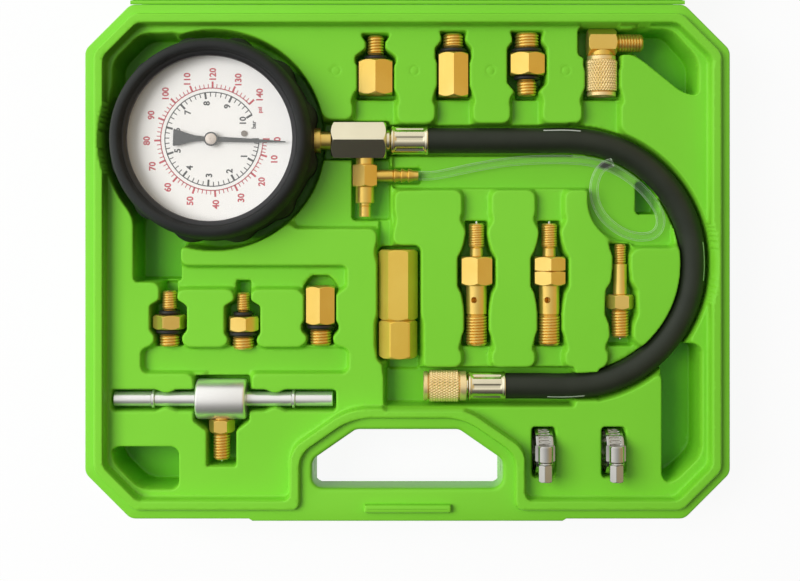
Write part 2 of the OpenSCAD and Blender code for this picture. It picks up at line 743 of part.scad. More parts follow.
module case_base() {
  color("limegreen")
    difference() {
      union() {
        case_half();
        translate([0, 0, part_z - over])
          linear_extrude(lip_h + over) {
            lip_zone(lip_inset, grip_ledge);
            bar_rib_block(0);
          }
      }
      sunk(deck_z)
        lip_zone(storage_inset, grip_ledge + lip_t);
      sunk(well_floor)
        deep_wells();
      sunk(recess_z)
        shallow_recesses();
      line_pockets();
      fitting_pocket(top_1_at, top_1);
      fitting_pocket(top_2_at, top_2);
      fitting_pocket(top_3_at, top_3);
      elbow_pocket();
      fitting_pocket(left_1_at, left_1);
      fitting_pocket(left_2_at, left_2);
      fitting_pocket(left_3_at, left_3);
      fitting_pocket(coupling_at, coupling_run);
      fitting_pocket([coupling_at[0], coupling_at[1] - coupling[1]], coupling_nut_run);
      for (x = valve_x)
        fitting_pocket([x, valve_y + pin[1]], concat([[valve_nose[0], pin[1], "round"]], valve));
      fitting_pocket(slim_at, concat(slim, [[slim_tail[0], pin[1], "round"]]));
      tee_pocket();
      clamp_slots();
      deck_dimples();
    }
}

module case_lid() {
  floor_z = part_z - lid_hollow;
  color("limegreen")
    translate([0, 2 * hinge_y, 0])
      mirror([0, 1, 0]) {
        difference() {
          case_half();
          translate([0, 0, floor_z])
            linear_extrude(lid_hollow + over)
              lip_zone(storage_inset, grip_ledge + lip_t);
          translate([0, 0, part_z - lip_h - lip_clear])
            linear_extrude(lip_h + lip_clear + over) {
              lip_zone(lip_inset - lip_clear, grip_ledge - lip_clear);
              bar_rib_block(lip_clear);
            }
          translate([0, 0, -over])
            linear_extrude(lid_panel_depth + over)
              round_rect([-case_w / 4, -case_d / 10, case_w / 4, case_d / 4], 2 * pocket_r);
        }
        for (x = [-case_w / 4, 0, case_w / 4])
          translate([x - lid_rib_w / 2, -case_d / 5, floor_z - over])
            cube([lid_rib_w, case_d / 2, lid_rib_h + over]);
      }
}

module hinge_web() {
  length = case_w - 2 * corner_cut;
  color("limegreen") {
    translate([-length / 2, hinge_y, half_h])
      rotate([0, 90, 0])
        cylinder(r = hinge_r, h = length);
    translate([-length / 2, case_d / 2, part_z - hinge_r])
      cube([length, hinge_y - case_d / 2, hinge_r]);
  }
}

module at_gauge() {
  translate([gauge_x, line_y, 0])
    children();
}

// Round a line that runs left to right through the fittings' level
module along_x(x, y) {
  translate([x, y, axis_z])
    rotate([0, 90, 0])
      children();
}

// Round a line that runs from a back end towards the front
module along_front(at) {
  translate([at[0], at[1], axis_z])
    rotate([90, 0, 0])
      children();
}

module gauge_boot() {
  ring = boot_d / 2;
  lobe_at = boot_lobe_d / 2 - boot_lobe_r;
  cavity = can_d / 2 + fit;
  foot = [5, 8];
  swell = 0.5;
  front = [2, 10];
  lobe_from = 4;
  lobe_h = boot_h - 2 * front[1];
  lobe_taper = [4, 8];
  color("dimgray")
    at_gauge()
      difference() {
        union() {
          rotate_extrude($fn = 128)
            polygon([
              [0, boot_z], [ring - foot[0], boot_z], [ring - foot[0] / 5, boot_z + foot[1] / 3],
              [ring + swell, boot_z + foot[1]], [ring + swell, boot_top - front[1]],
              [ring, boot_top - 2 * front[0]], [ring - front[0], boot_top], [0, boot_top]
            ]);
          for (a = [0 : 360 / boot_lobes : 359])
            rotate(a + 180 / boot_lobes)
              translate([lobe_at, 0, boot_z + lobe_from]) {
                cylinder(r = boot_lobe_r, h = lobe_h);
                translate([0, 0, lobe_h])
                  cylinder(r1 = boot_lobe_r, r2 = boot_lobe_r - lobe_taper[0], h = lobe_taper[1]);
              }
        }
        translate([0, 0, can_z])
          cylinder(r = cavity, h = boot_top - boot_lip - can_z, $fn = 128);
        translate([0, 0, can_z])
          cylinder(r = cavity - boot_cover, h = boot_h, $fn = 128);
        translate([0, 0, axis_z])
          rotate([0, 90, 0])
            cylinder(d = stem_d + 2 * seat_gap, h = boot_lobe_d);
      }
}

module gauge_can() {
  color("silver")
    at_gauge()
      difference() {
        translate([0, 0, can_z])
          cylinder(d = can_d, h = lens_z - can_z, $fn = 128);
        translate([0, 0, can_z + can_wall])
          cylinder(d = can_d - 2 * can_wall, h = boot_h, $fn = 128);
        translate([0, 0, axis_z])
          rotate([0, 90, 0])
            cylinder(d = stem_d + 2 * fit, h = can_d);
      }
}

module gauge_bezel() {
  color("black")
    at_gauge()
      translate([0, 0, bezel_z])
        difference() {
          cylinder(d = can_d, h = bezel[0], $fn = 128);
          translate([0, 0, -over])
            cylinder(r = can_d / 2 - bezel[1], h = bezel[0] + 2 * over, $fn = 128);
        }
}

module gauge_lens() {
  color("white", 0.3)
    at_gauge()
      translate([0, 0, lens_z])
        cylinder(d = can_d, h = lens_t, $fn = 128);
}

module dial_plate() {
  color("white")
    at_gauge()
      translate([0, 0, dial_z - dial_t])
        difference() {
          cylinder(r = can_d / 2 - can_wall - seat_gap, h = dial_t, $fn = 128);
          translate([0, 0, -over])
            cylinder(r = 2 * shaft_r, h = dial_t + 2 * over);
        }
}

module dial_screws() {
  head_r = 1.6;
  head_h = 0.8;
  slot_w = 0.4;
  color("gold")
    at_gauge()
      for (x = [-dial_post[0], dial_post[0]])
        translate([x, dial_post[1], dial_z])
          difference() {
            cylinder(r = head_r, h = head_h);
            translate([-2 * head_r, -slot_w / 2, head_h / 2])
              cube([4 * head_r, slot_w, over]);
          }
}

module plate_outline() {
  round_rect([-plate_half, plate_front, plate_half, plate_back], 2);
}

module movement_frame() {
  pillar_r = 2;
  pillar_x = plate_half - 1.5 * pillar_r;
  pillar_back = plate_back - 1.5 * pillar_r;
  pillar_front = plate_front + 1.5 * pillar_r;
  color("gold")
    at_gauge()
      difference() {
        union() {
          translate([0, 0, plate_low_z])
            linear_extrude(plate_t) {
              plate_outline();
              round_rect([0, -socket_w / 2, socket_in + 6, socket_w / 2], 2);
            }
          translate([0, 0, plate_high_z])
            linear_extrude(plate_t)
              plate_outline();
          for (p = [[-pillar_x, pillar_back], [pillar_x, pillar_back], [-pillar_x, pillar_front]])
            translate([p[0], p[1], plate_low_z])
              cylinder(r = pillar_r, h = plate_space + 2 * plate_t);
          for (x = [-dial_post[0], dial_post[0]])
            translate([x, dial_post[1], plate_high_z])
              cylinder(r = pillar_r, h = dial_z - dial_t - plate_high_z);
        }
        for (y = [0, sector_y])
          translate([0, y, plate_low_z - over])
            cylinder(r = shaft_r + run_clear, h = boot_h);
      }
}

module bourdon_tube() {
  half_h_tube = bourdon[1] / 2;
  r = bourdon[2] / 2;
  start = asin((socket_w / 2 + fit) / (bourdon[0] - r));
  color("goldenrod")
    at_gauge()
      translate([0, 0, axis_z])
        rotate(start)
          rotate_extrude(angle = bourdon_angle, $fn = 128)
            translate([bourdon[0], 0]) {
              translate([-r, r - half_h_tube])
                square([2 * r, 2 * half_h_tube - 2 * r]);
              for (z = [r - half_h_tube, half_h_tube - r])
                translate([0, z])
                  circle(r);
            }
}

module movement_link() {
  far = bourdon[0] - bourdon[2] / 2 - fit;
  near = -sector_y + 6;
  link_w = 3;
  link_t = 1;
  color("gold")
    at_gauge()
      translate([0, 0, axis_z + 0.6])
        linear_extrude(link_t)
          round_rect([-link_w / 2, -far, link_w / 2, -near], link_w / 2 - fit);
}

module gauge_socket() {
  color("gold")
    at_gauge()
      translate([0, 0, axis_z]) {
        translate([socket_in, -socket_w / 2, -socket_h / 2])
          cube([socket_out - socket_in, socket_w, socket_h]);
        rotate([0, 90, 0]) {
          translate([0, 0, socket_out - over])
            cylinder(d = stem_d, h = boot_lobe_d / 2 - socket_out + over);
          translate([0, 0, socket_in])
            cylinder(d = stem_thread[0], h = block_x + stem_thread[1] - gauge_x - socket_in);
        }
      }
}

// Teeth of a gear: straight flanks that narrow to the tip, with backlash
module teeth(r, count, from, to) {
  pitch = PI * gear_module;
  foot = r - tooth_depth - 0.3;
  tip = r + 0.8 * gear_module;
  foot_half = 0.24 * pitch;
  tip_half = 0.11 * pitch;
  for (i = [from : to])
    rotate(360 * i / count)
      polygon([[foot, -foot_half], [tip, -tip_half], [tip, tip_half], [foot, foot_half]]);
}

module sector_gear() {
  spare = 8;
  face_t = 1.2;
  hub_r = 3;
  tail = [3, 8];
  root = sector_r - tooth_depth;
  reach = 1.5 * root;
  first = -round((sector_sweep + spare) * sector_teeth / 360);
  last = round(spare * sector_teeth / 360);
  color("gold")
    at_gauge()
      translate([0, sector_y, axis_z - face_t]) {
        linear_extrude(face_t) {
          rotate(90)
            teeth(sector_r, sector_teeth, first, last);
          intersection() {
            circle(root);
            rotate(90)
              polygon([
                [0, 2], [reach * cos(spare), reach * sin(spare)],
                [reach, -reach * sin((sector_sweep + spare) / 2)],
                [reach * cos(sector_sweep + spare), -reach * sin(sector_sweep + spare)], [-1, -2]
              ]);
          }
          circle(hub_r);
          round_rect([-tail[0] / 2, -tail[1], tail[0] / 2, 0], tail[0] / 2 - fit);
        }
        translate([0, 0, plate_low_z - axis_z + face_t])
          cylinder(r = shaft_r, h = plate_space + 2 * plate_t);
      }
}

module pointer_shaft() {
  root = pinion_r - tooth_depth;
  pinion_h = 3;
  color("gold")
    at_gauge() {
      translate([0, 0, plate_low_z])
        cylinder(r = shaft_r, h = pointer_z - plate_low_z);
      translate([0, 0, axis_z - 2])
        linear_extrude(pinion_h) {
          circle(root);
          rotate(-90 + 180 / pinion_teeth)
            teeth(pinion_r, pinion_teeth, 0, pinion_teeth - 1);
        }
    }
}

module pointer() {
  length = pointer_size[0];
  tail = pointer_size[1];
  waist = 1.2;
  point = 0.3;
  color("black")
    at_gauge()
      translate([0, 0, pointer_z])
        linear_extrude(pointer_size[3]) {
          circle(pointer_hub_r);
          polygon([
            [-tail, -pointer_size[2] / 2], [-tail * 0.7, -pointer_size[2] / 4], [0, -waist],
            [length, -point], [length, point],
            [0, waist], [-tail * 0.7, pointer_size[2] / 4], [-tail, pointer_size[2] / 2]
          ]);
        }
}

// Hexagon bar along +Z whose corners are turned off at both ends
module hex_bar(flats, length, turn) {
  corner = flats / cos(30) / 2;
  bevel = (corner - flats / 2) * 0.9;
  intersection() {
    rotate(turn)
      cylinder(r = corner, h = length, $fn = 6);
    rotate_extrude()
      polygon([
        [0, 0], [corner - bevel, 0], [corner, bevel / 2], [corner, length - bevel / 2],
        [corner - bevel, length], [0, length]
      ]);
  }
}

// Round bar along +Z with a small bevel at both ends
module round_bar(d, length) {
  bevel = min(0.6, length / 4);
  rotate_extrude()
    polygon([
      [0, 0], [d / 2 - bevel, 0], [d / 2, bevel],
      [d / 2, length - bevel], [d / 2 - bevel, length], [0, length]
    ]);
}

// Solid of a fitting along +Z from its back end, its stretches joined by a core
module fitting_solid(run) {
  cylinder(d = thinnest(run) - neck_cut, h = run_len(run));
  for (i = [0 : len(run) - 1])
    translate([0, 0, run_from(run, i)]) {
      s = run[i];
      if (s[2] == "hex")
        hex_bar(s[0], s[1], 30);
      else if (s[2] == "flat")
        hex_bar(s[0], s[1], 0);
      else if (s[2] == "ring")
        cylinder(d = s[0], h = s[1]);
      else
        round_bar(s[0], s[1]);
    }
}

module fitting(at, run) {
  color("goldenrod")
    along_front(at)
      difference() {
        fitting_solid(run);
        translate([0, 0, -over])
          cylinder(d = fitting_bore, h = run_len(run) + 2 * over);
      }
}

// O-rings on the necks of a fitting
module o_rings(at, run) {
  color("black")
    along_front(at)
      for (i = [0 : len(run) - 1])
        if (run[i][2] == "ring")
          translate([0, 0, run_from(run, i) + run[i][1] / 2])
            rotate_extrude()
              translate([run[i][0] / 2 + fit + ring_cs / 2, 0])
                circle(d = ring_cs);
}

module manifold_block() {
  color("silver")
    difference() {
      along_x(block_x, line_y)
        hex_bar(block[0], block[1], 0);
      along_x(block_x - over, line_y)
        cylinder(d = stem_thread[0] + 2 * fit, h = stem_thread[1] + fit + over);
      along_x(block_end - stem_thread[1] - fit, line_y)
        cylinder(d = stem_thread[0] + 2 * fit, h = stem_thread[1] + fit + over);
      along_x(block_x, line_y)
        cylinder(d = fitting_bore, h = block[1]);
      along_front([bleed_x, bleed_y + block[0] / 2])
        cylinder(d = bleed_neck[0] - neck_cut + 2 * fit, h = block[0]);
    }
}

// Bore of the bleed valve: the button slides in its mouth and its stem in the rest
bleed_len = bleed_neck[1] + bleed_hex[1] + bleed_stem[1];
bleed_mouth = 6;
bleed_rod_d = 2.6;
bleed_rod_len = 6.5;
button_lap = 1;

module bleed_body() {
  spigot = block[0] / 2 - fitting_bore;
  barb_step = 2.4;
  color("goldenrod")
    difference() {
      union() {
        along_front([bleed_x, bleed_y])
          fitting_solid(bleed_run);
        along_front([bleed_x, bleed_y + spigot])
          cylinder(d = bleed_neck[0] - neck_cut, h = spigot + over);
        along_x(bleed_x, barb_y) {
          cylinder(d = barb[0] - 1.2, h = barb[1]);
          cylinder(d = barb[0], h = barb[1] / 2);
          for (i = [1 : 3])
            translate([0, 0, barb[1] - i * barb_step - over])
              cylinder(d1 = barb[0], d2 = barb[0] - 1.6, h = barb_step);
        }
      }
      along_front([bleed_x, bleed_y - bleed_len + bleed_mouth])
        cylinder(d = bleed_button_size[0] + 2 * run_clear, h = bleed_mouth + over);
      along_front([bleed_x, bleed_y - bleed_len + bleed_mouth + bleed_rod_len])
        cylinder(d = bleed_rod_d + 2 * run_clear, h = bleed_rod_len + over);
      along_x(bleed_x, barb_y)
        cylinder(d = bleed_rod_d, h = barb[1] + over);
    }
}

module bleed_button() {
  color("goldenrod")
    along_front([bleed_x, bleed_y - bleed_len + button_lap]) {
      round_bar(bleed_button_size[0], bleed_button_size[1] + button_lap);
      translate([0, 0, button_lap - bleed_mouth - bleed_travel * 0.6])
        cylinder(d = bleed_rod_d, h = bleed_mouth + bleed_travel * 0.6);
    }
}

// Return spring round the button's rod
module bleed_spring() {
  wire = 0.7;
  turns = 5;
  per_turn = 8;
  long = bleed_mouth - button_lap - wire - 2 * fit;
  r = (bleed_button_size[0] - wire) / 2 - seat_gap;
  coil = [for (i = [0 : turns * per_turn]) let (a = 360 * i / per_turn)
    [r * cos(a), r * sin(a), long * i / (turns * per_turn)]];
  color("silver")
    along_front([bleed_x, bleed_y - bleed_len + bleed_mouth - fit - wire / 2])
      cord(coil, wire, 6);
}

module drain_tube() {
  color("white", 0.4)
    cord(tube_route, tube_d, 8);
}

module hose_stem() {
  color("silver") {
    along_x(block_end - stem_thread[1], line_y)
      cylinder(d = stem_thread[0], h = stem_thread[1] + over);
    along_x(block_end, line_y)
      cylinder(d = collar[0], h = collar[1]);
    along_x(block_end, line_y)
      cylinder(d = tail_d, h = collar[1] + ferrule[1] - over);
  }
}

// Crimped sleeve along +X with a bead at each end and pressed flutes between
module ferrule_sleeve(x, y) {
  bead = 1.8;
  flutes = 8;
  flute_r = 0.9;
  flute_depth = 0.6;
  end_wall = 0.5;
  color("silver")
    along_x(x, y)
      difference() {
        union() {
          cylinder(d = ferrule[0], h = ferrule[1]);
          for (z = [0, ferrule[1] - bead])
            translate([0, 0, z])
              cylinder(d = bead_d, h = bead);
        }
        translate([0, 0, -over])
          cylinder(d = tail_d + 2 * fit, h = ferrule[1] + over - end_wall);
        for (a = [0 : 360 / flutes : 359])
          rotate(a)
            translate([ferrule[0] / 2 + flute_r - flute_depth, 0, 2 * bead])
              cylinder(r = flute_r, h = ferrule[1] - 4 * bead);
      }
}

module block_ferrule() {
  ferrule_sleeve(ferrule_x, line_y);
}

module coupler_ferrule() {
  ferrule_sleeve(end_ferrule_x, hose_end_y);
}

module hose() {
  color("dimgray")
    cord(hose_route, hose_d, 12);
}

// Place of the flange on the far side of a swivelling nut's back wall
flange_in = nut_wall + seat_gap;

module coupler_stem() {
  color("silver") {
    along_x(nut_end - flange_in - nut_flange_t, hose_end_y)
      cylinder(d = nut_flange, h = nut_flange_t);
    along_x(nut_end - flange_in - over, hose_end_y)
      cylinder(d = nut_neck, h = flange_in + over + end_ferrule_x - nut_end);
    along_x(nut_end, hose_end_y)
      cylinder(d = tail_d, h = end_ferrule_x - nut_end + ferrule[1] - over);
  }
}

// Knurled nut along +Z whose back wall, at its far end, turns on a neck
module swivel_nut(size) {
  rim = 2.6;
  rim_d = size[0] - 1.2;
  difference() {
    union() {
      cylinder(d = rim_d, h = size[1]);
      translate([0, 0, rim])
        cylinder(d = size[0], h = size[1] - 2 * rim);
    }
    translate([0, 0, -over])
      cylinder(d = nut_bore, h = size[1] - nut_wall + over);
    cylinder(d = nut_neck + 2 * run_clear, h = size[1] + over);
  }
}

module coupler_nut() {
  color("goldenrod")
    along_x(nut_x, hose_end_y)
      swivel_nut(nut);
}

module coupler_seal() {
  seal_t = 1.6;
  color("black")
    along_x(nut_end - flange_in - nut_flange_t - seal_t, hose_end_y)
      difference() {
        cylinder(d = nut_flange, h = seal_t);
        translate([0, 0, -over])
          cylinder(d = fitting_bore, h = seal_t + 2 * over);
      }
}

module top_adapter_1() {
  fitting(top_1_at, top_1);
}

module top_ring_1() {
  o_rings(top_1_at, top_1);
}

module top_adapter_2() {
  fitting(top_2_at, top_2);
}

module top_ring_2() {
  o_rings(top_2_at, top_2);
}

module top_adapter_3() {
  fitting(top_3_at, top_3);
}

module top_rings_3() {
  o_rings(top_3_at, top_3);
}

// Front face of the elbow's block, where its nut starts
elbow_face = elbow_at[1] - elbow_block[1] - seat_gap;

module elbow_body() {
  half = elbow_block[0] / 2;
  mid = elbow_at[1] - elbow_block[1] / 2;
  color("goldenrod")
    difference() {
      union() {
        along_x(elbow_at[0] - half, mid)
          hex_bar(elbow_block[1], elbow_block[0], 0);
        along_x(elbow_at[0] + half - over, mid)
          round_bar(elbow_port[0], elbow_port[1] + over);
        along_front([elbow_at[0], mid]) {
          cylinder(d = nut_neck, h = elbow_block[1] / 2 + seat_gap + flange_in + nut_flange_t);
          translate([0, 0, elbow_block[1] / 2 + seat_gap + flange_in])
            cylinder(d = nut_flange, h = nut_flange_t);
        }
      }
      along_x(elbow_at[0], mid)
        cylinder(d = fitting_bore, h = elbow_block[0] + elbow_port[1]);
      along_front([elbow_at[0], mid])
        cylinder(d = fitting_bore, h = elbow_block[1] + nut[1]);
    }
}

module elbow_nut() {
  color("goldenrod")
    translate([elbow_at[0], elbow_face - elbow_nut_size[1], axis_z])
      rotate([-90, 0, 0])
        swivel_nut(elbow_nut_size);
}

module left_adapter_1() {
  fitting(left_1_at, left_1);
}

module left_rings_1() {
  o_rings(left_1_at, left_1);
}

module left_adapter_2() {
  fitting(left_2_at, left_2);
}

module left_rings_2() {
  o_rings(left_2_at, left_2);
}

module left_adapter_3() {
  fitting(left_3_at, left_3);
}

module left_ring_3() {
  o_rings(left_3_at, left_3);
}

module coupling_body() {
  color("goldenrod")
    along_front(coupling_at)
      difference() {
        union() {
          hex_bar(coupling[0], coupling[1], 0);
          cylinder(d = nut_neck, h = coupling[1] + seat_gap + flange_in + nut_flange_t);
          translate([0, 0, coupling[1] + seat_gap + flange_in])
            cylinder(d = nut_flange, h = nut_flange_t);
        }
        translate([0, 0, -over])
          cylinder(d = fitting_bore, h = coupling[1] + nut[1]);
        translate([0, 0, -over])
          cylinder(d = nut_bore, h = coupling[1] / 2);
      }
}

module coupling_nut() {
  color("goldenrod")
    along_front([coupling_at[0], coupling_at[1] - coupling[1] - seat_gap])
      difference() {
        hex_bar(coupling[0], coupling_nut_len, 0);
        translate([0, 0, -over])
          cylinder(d = nut_neck + 2 * run_clear, h = coupling_nut_len);
        translate([0, 0, nut_wall])
          cylinder(d = nut_bore, h = coupling_nut_len);
      }
}

module valve_adapter(at) {
  cross_at = run_from(valve, 3) + valve_barrel[1] / 2;
  color("goldenrod")
    along_front(at)
      difference() {
        fitting_solid(valve);
        translate([0, 0, -over])
          cylinder(d = pin[0] + 2 * run_clear, h = pin_hold + 2 * pin_travel + over);
        translate([0, 0, pin_hold + 2 * pin_travel - over])
          cylinder(d = fitting_bore, h = run_len(valve));
        translate([0, 0, cross_at])
          rotate([90, 0, 0])
            cylinder(d = valve_cross_d, h = 2 * valve_barrel[0], center = true);
      }
}

// Pin along the way a fitting's end faces, held in the fitting's bore
module valve_pin(at) {
  color("silver")
    along_front([at[0], at[1] + pin[1]])
      cylinder(d = pin[0], h = pin[1] + pin_hold);
}

module valve_adapter_1() {
  valve_adapter([valve_x[0], valve_y]);
}

module valve_pin_1() {
  valve_pin([valve_x[0], valve_y]);
}

module valve_adapter_2() {
  valve_adapter([valve_x[1], valve_y]);
}

module valve_pin_2() {
  valve_pin([valve_x[1], valve_y]);
}

module valve_adapter_3() {
  color("goldenrod")
    along_front(slim_at)
      difference() {
        fitting_solid(slim);
        translate([0, 0, run_len(slim) - pin_hold - 2 * pin_travel])
          cylinder(d = pin[0] + 2 * run_clear, h = pin_hold + 2 * pin_travel + over);
        translate([0, 0, -over])
          cylinder(d = fitting_bore, h = run_len(slim) - pin_hold - 2 * pin_travel + 2 * over);
      }
}

module valve_pin_3() {
  color("silver")
    along_front([slim_at[0], slim_at[1] - run_len(slim) + pin_hold])
      cylinder(d = pin[0], h = pin[1] + pin_hold);
}

module tee_body() {
  socket = tee_hex[0] - 3;
  color("gainsboro")
    difference() {
      union() {
        along_x(tee_at[0], tee_at[1])
          round_bar(tee_tube[0], tee_tube[1]);
        along_x(tee_mid - tee_body_size[1] / 2, tee_at[1])
          round_bar(tee_body_size[0], tee_body_size[1]);
        for (x = [tee_at[0] + tee_bead_in, tee_at[0] + tee_tube[1] - tee_bead_in])
          along_x(x - tee_bead[1] / 2, tee_at[1])
            round_bar(tee_bead[0], tee_bead[1]);
      }
      along_x(tee_at[0] - over, tee_at[1])
        cylinder(d = fitting_bore, h = tee_tube[1] + 2 * over);
      along_front([tee_mid, tee_at[1]])
        cylinder(d = socket + 2 * fit, h = tee_body_size[0]);
    }
}

module tee_port() {
  socket = tee_hex[0] - 3;
  spigot = tee_body_size[0] / 2 - fitting_bore;
  color("goldenrod")
    along_front([tee_mid, tee_port_y - fit])
      difference() {
        union() {
          fitting_solid(tee_run);
          translate([0, 0, -spigot])
            cylinder(d = socket, h = spigot + over);
        }
        translate([0, 0, run_len(tee_run) - pin_hold - 2 * pin_travel])
          cylinder(d = pin[0] + 2 * run_clear, h = pin_hold + 2 * pin_travel + over);
        translate([0, 0, -spigot - over])
          cylinder(d = fitting_bore, h = spigot + run_len(tee_run) - pin_hold - 2 * pin_travel + 2 * over);
      }
}

module tee_pin() {
  color("silver")
    along_front([tee_mid, tee_port_y - fit - run_len(tee_run) + pin_hold])
      cylinder(d = pin[0], h = pin[1] + pin_hold);
}

module clamp_band(x) {
  color("silver")
    along_x(x - clamp_w / 2, clamp_y)
      difference() {
        cylinder(d = clamp_d, h = clamp_w, $fn = 96);
        translate([0, 0, -over])
          cylinder(d = clamp_d - 2 * clamp_t, h = clamp_w + 2 * over, $fn = 96);
      }
}

clamp_screw_z = clamp_top + clamp_screw_size[0] / 2 + 2 * fit;

module clamp_housing(x) {
  size = clamp_housing_size;
  color("silver")
    difference() {
      translate([x - size[0] / 2, clamp_y - size[1] / 2, clamp_top - housing_sink])
        cube(size);
      along_x(x - size[0], clamp_y)
        cylinder(d = clamp_d + 2 * fit, h = 2 * size[0], $fn = 96);
      translate([x, clamp_y + size[1], clamp_screw_z])
        rotate([90, 0, 0])
          cylinder(d = clamp_screw_size[0] + 2 * run_clear, h = 2 * size[1]);
    }
}

module clamp_screw(x) {
  slot = [1, 1.4];
  back = clamp_y + clamp_housing_size[1] / 2;
  color("silver")
    translate([x, back, clamp_screw_z])
      rotate([90, 0, 0])
        difference() {
          union() {
            cylinder(d = clamp_screw_size[0], h = clamp_screw_size[1]);
            translate([0, 0, clamp_screw_size[1] - clamp_head[1]])
              hex_bar(clamp_head[0], clamp_head[1], 0);
          }
          translate([-slot[0] / 2, -clamp_screw_size[0], clamp_screw_size[1] - slot[1]])
            cube([slot[0], 2 * clamp_screw_size[0], 2 * slot[1]]);
        }
}

module clamp_band_1() {
  clamp_band(clamp_x[0]);
}

module clamp_housing_1() {
  clamp_housing(clamp_x[0]);
}

module clamp_screw_1() {
  clamp_screw(clamp_x[0]);
}

module clamp_band_2() {
  clamp_band(clamp_x[1]);
}

module clamp_housing_2() {
  clamp_housing(clamp_x[1]);
}

module clamp_screw_2() {
  clamp_screw(clamp_x[1]);
}

case_base();
case_lid();
hinge_web();
gauge_boot();
gauge_can();
gauge_bezel();
gauge_lens();
dial_plate();
dial_screws();
movement_frame();
bourdon_tube();
movement_link();
gauge_socket();
sector_gear();
pointer_shaft();
pointer();
manifold_block();
bleed_body();
bleed_button();
bleed_spring();
drain_tube();
hose_stem();
block_ferrule();
hose();
coupler_ferrule();
coupler_stem();
coupler_nut();
coupler_seal();
top_adapter_1();
top_ring_1();
top_adapter_2();
top_ring_2();
top_adapter_3();
top_rings_3();
elbow_body();
elbow_nut();
left_adapter_1();
left_rings_1();
left_adapter_2();
left_rings_2();
left_adapter_3();
left_ring_3();
coupling_body();
coupling_nut();
valve_adapter_1();
valve_pin_1();
valve_adapter_2();
valve_pin_2();
valve_adapter_3();
valve_pin_3();
tee_body();
tee_port();
tee_pin();
clamp_band_1();
clamp_housing_1();
clamp_screw_1();
clamp_band_2();
clamp_housing_2();
clamp_screw_2();
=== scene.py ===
# %% [markdown]
# # A fuel pressure tester kit, dressed in Blender
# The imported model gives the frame: every body, joint and solid at its real place. This lesson puts the
# finished surfaces over it. Sizes are written in millimetres, as on a drawing, and become metres when a
# mesh is made.

import bmesh
import bpy
import numpy as np
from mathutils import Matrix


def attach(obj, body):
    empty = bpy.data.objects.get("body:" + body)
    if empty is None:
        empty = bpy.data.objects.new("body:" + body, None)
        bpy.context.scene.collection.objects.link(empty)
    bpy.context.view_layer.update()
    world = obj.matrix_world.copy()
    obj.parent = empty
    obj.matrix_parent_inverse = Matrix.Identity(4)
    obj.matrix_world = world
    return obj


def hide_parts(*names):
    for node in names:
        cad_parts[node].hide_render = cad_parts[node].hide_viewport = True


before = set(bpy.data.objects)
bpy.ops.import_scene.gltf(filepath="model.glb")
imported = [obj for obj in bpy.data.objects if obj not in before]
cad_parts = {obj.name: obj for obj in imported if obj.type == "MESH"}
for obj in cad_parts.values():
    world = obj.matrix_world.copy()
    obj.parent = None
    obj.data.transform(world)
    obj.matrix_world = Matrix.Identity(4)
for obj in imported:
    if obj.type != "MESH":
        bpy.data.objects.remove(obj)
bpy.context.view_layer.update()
MM = 0.001
scene = bpy.context.scene
scene.view_settings.view_transform = "Standard"

# %% [markdown]
# The picture was taken from straight above, so the camera looks down the z axis. A long lens keeps the
# walls of the tray nearly upright in the picture. The frame holds the base half of the case; the lid runs
# out of it at the top, which is why the lens is shifted a little instead of being turned.

# %% Camera
LENS, SENSOR = 55.0, 36.0
SEEN_WIDTH = 424.0
FOCUS_Z = 36.0
FRAME_CENTRE = (-4.0, -15.4)
LENS_SHIFT = -0.1
camera_data = bpy.data.cameras.new("camera")
camera_data.lens, camera_data.sensor_width = LENS, SENSOR
camera_data.shift_y = LENS_SHIFT
camera = bpy.data.objects.new("camera", camera_data)
camera.location = (
    FRAME_CENTRE[0] * MM,
    (FRAME_CENTRE[1] - LENS_SHIFT * SEEN_WIDTH) * MM,
    (FOCUS_Z + SEEN_WIDTH * LENS / SENSOR) * MM,
)
scene.collection.objects.link(camera)
scene.camera = camera
print("camera height:", round(camera.location.z, 3))

# %% [markdown]
# One large soft lamp stands to the left and a little behind, so shadows fall to the right. Flat metal faces
# mirror the room and not the lamp, so the lamp is left out of gloss and the world does that work: bright on
# the left and at the back, warm and dimmer on the right, dark in front. Two colour ramps, across and along,
# are multiplied to give it. As soft fill on matt plastic the room counts for less, which keeps the pockets
# dark: Light Path tells the two apart.

# %% Light and world
def lamp(name, place, size, watts):
    """A square area lamp at a place, turned so that it faces the middle of the tray."""
    data = bpy.data.lights.new(name, "AREA")
    data.shape, data.size, data.energy = "SQUARE", size, watts
    obj = bpy.data.objects.new(name, data)
    obj.location = place
    way = -obj.location
    obj.rotation_euler = way.to_track_quat("-Z", "Y").to_euler()
    obj.visible_glossy = False
    scene.collection.objects.link(obj)


LAMP_PLACE, LAMP_SIZE, LAMP_WATTS = (-1.15, 0.24, 1.45), 1.1, 30.5
lamp("window_lamp", LAMP_PLACE, LAMP_SIZE, LAMP_WATTS)

STUDIO_LEVEL, FILL_SHARE = 1.69, 0.5
SIDE_STOPS = [(0.07, (0.96, 0.96, 0.96)), (0.3, (0.75, 0.75, 0.75)), (0.5, (0.52, 0.52, 0.52)),
              (0.7, (0.46, 0.42, 0.35)), (0.93, (0.51, 0.38, 0.19))]
DEPTH_STOPS = [(0.07, (0.04, 0.04, 0.04)), (0.25, (0.23, 0.23, 0.23)), (0.4, (0.65, 0.65, 0.65)),
               (0.5, (0.77, 0.77, 0.77)), (0.93, (1, 1, 1))]
world = bpy.data.worlds.new("studio")
world.use_nodes = True
scene.world = world
nodes, links = world.node_tree.nodes, world.node_tree.links
direction = nodes.new("ShaderNodeTexCoord")
split = nodes.new("ShaderNodeSeparateXYZ")
links.new(direction.outputs["Generated"], split.inputs["Vector"])
both = nodes.new("ShaderNodeMix")
both.data_type, both.blend_type = "RGBA", "MULTIPLY"
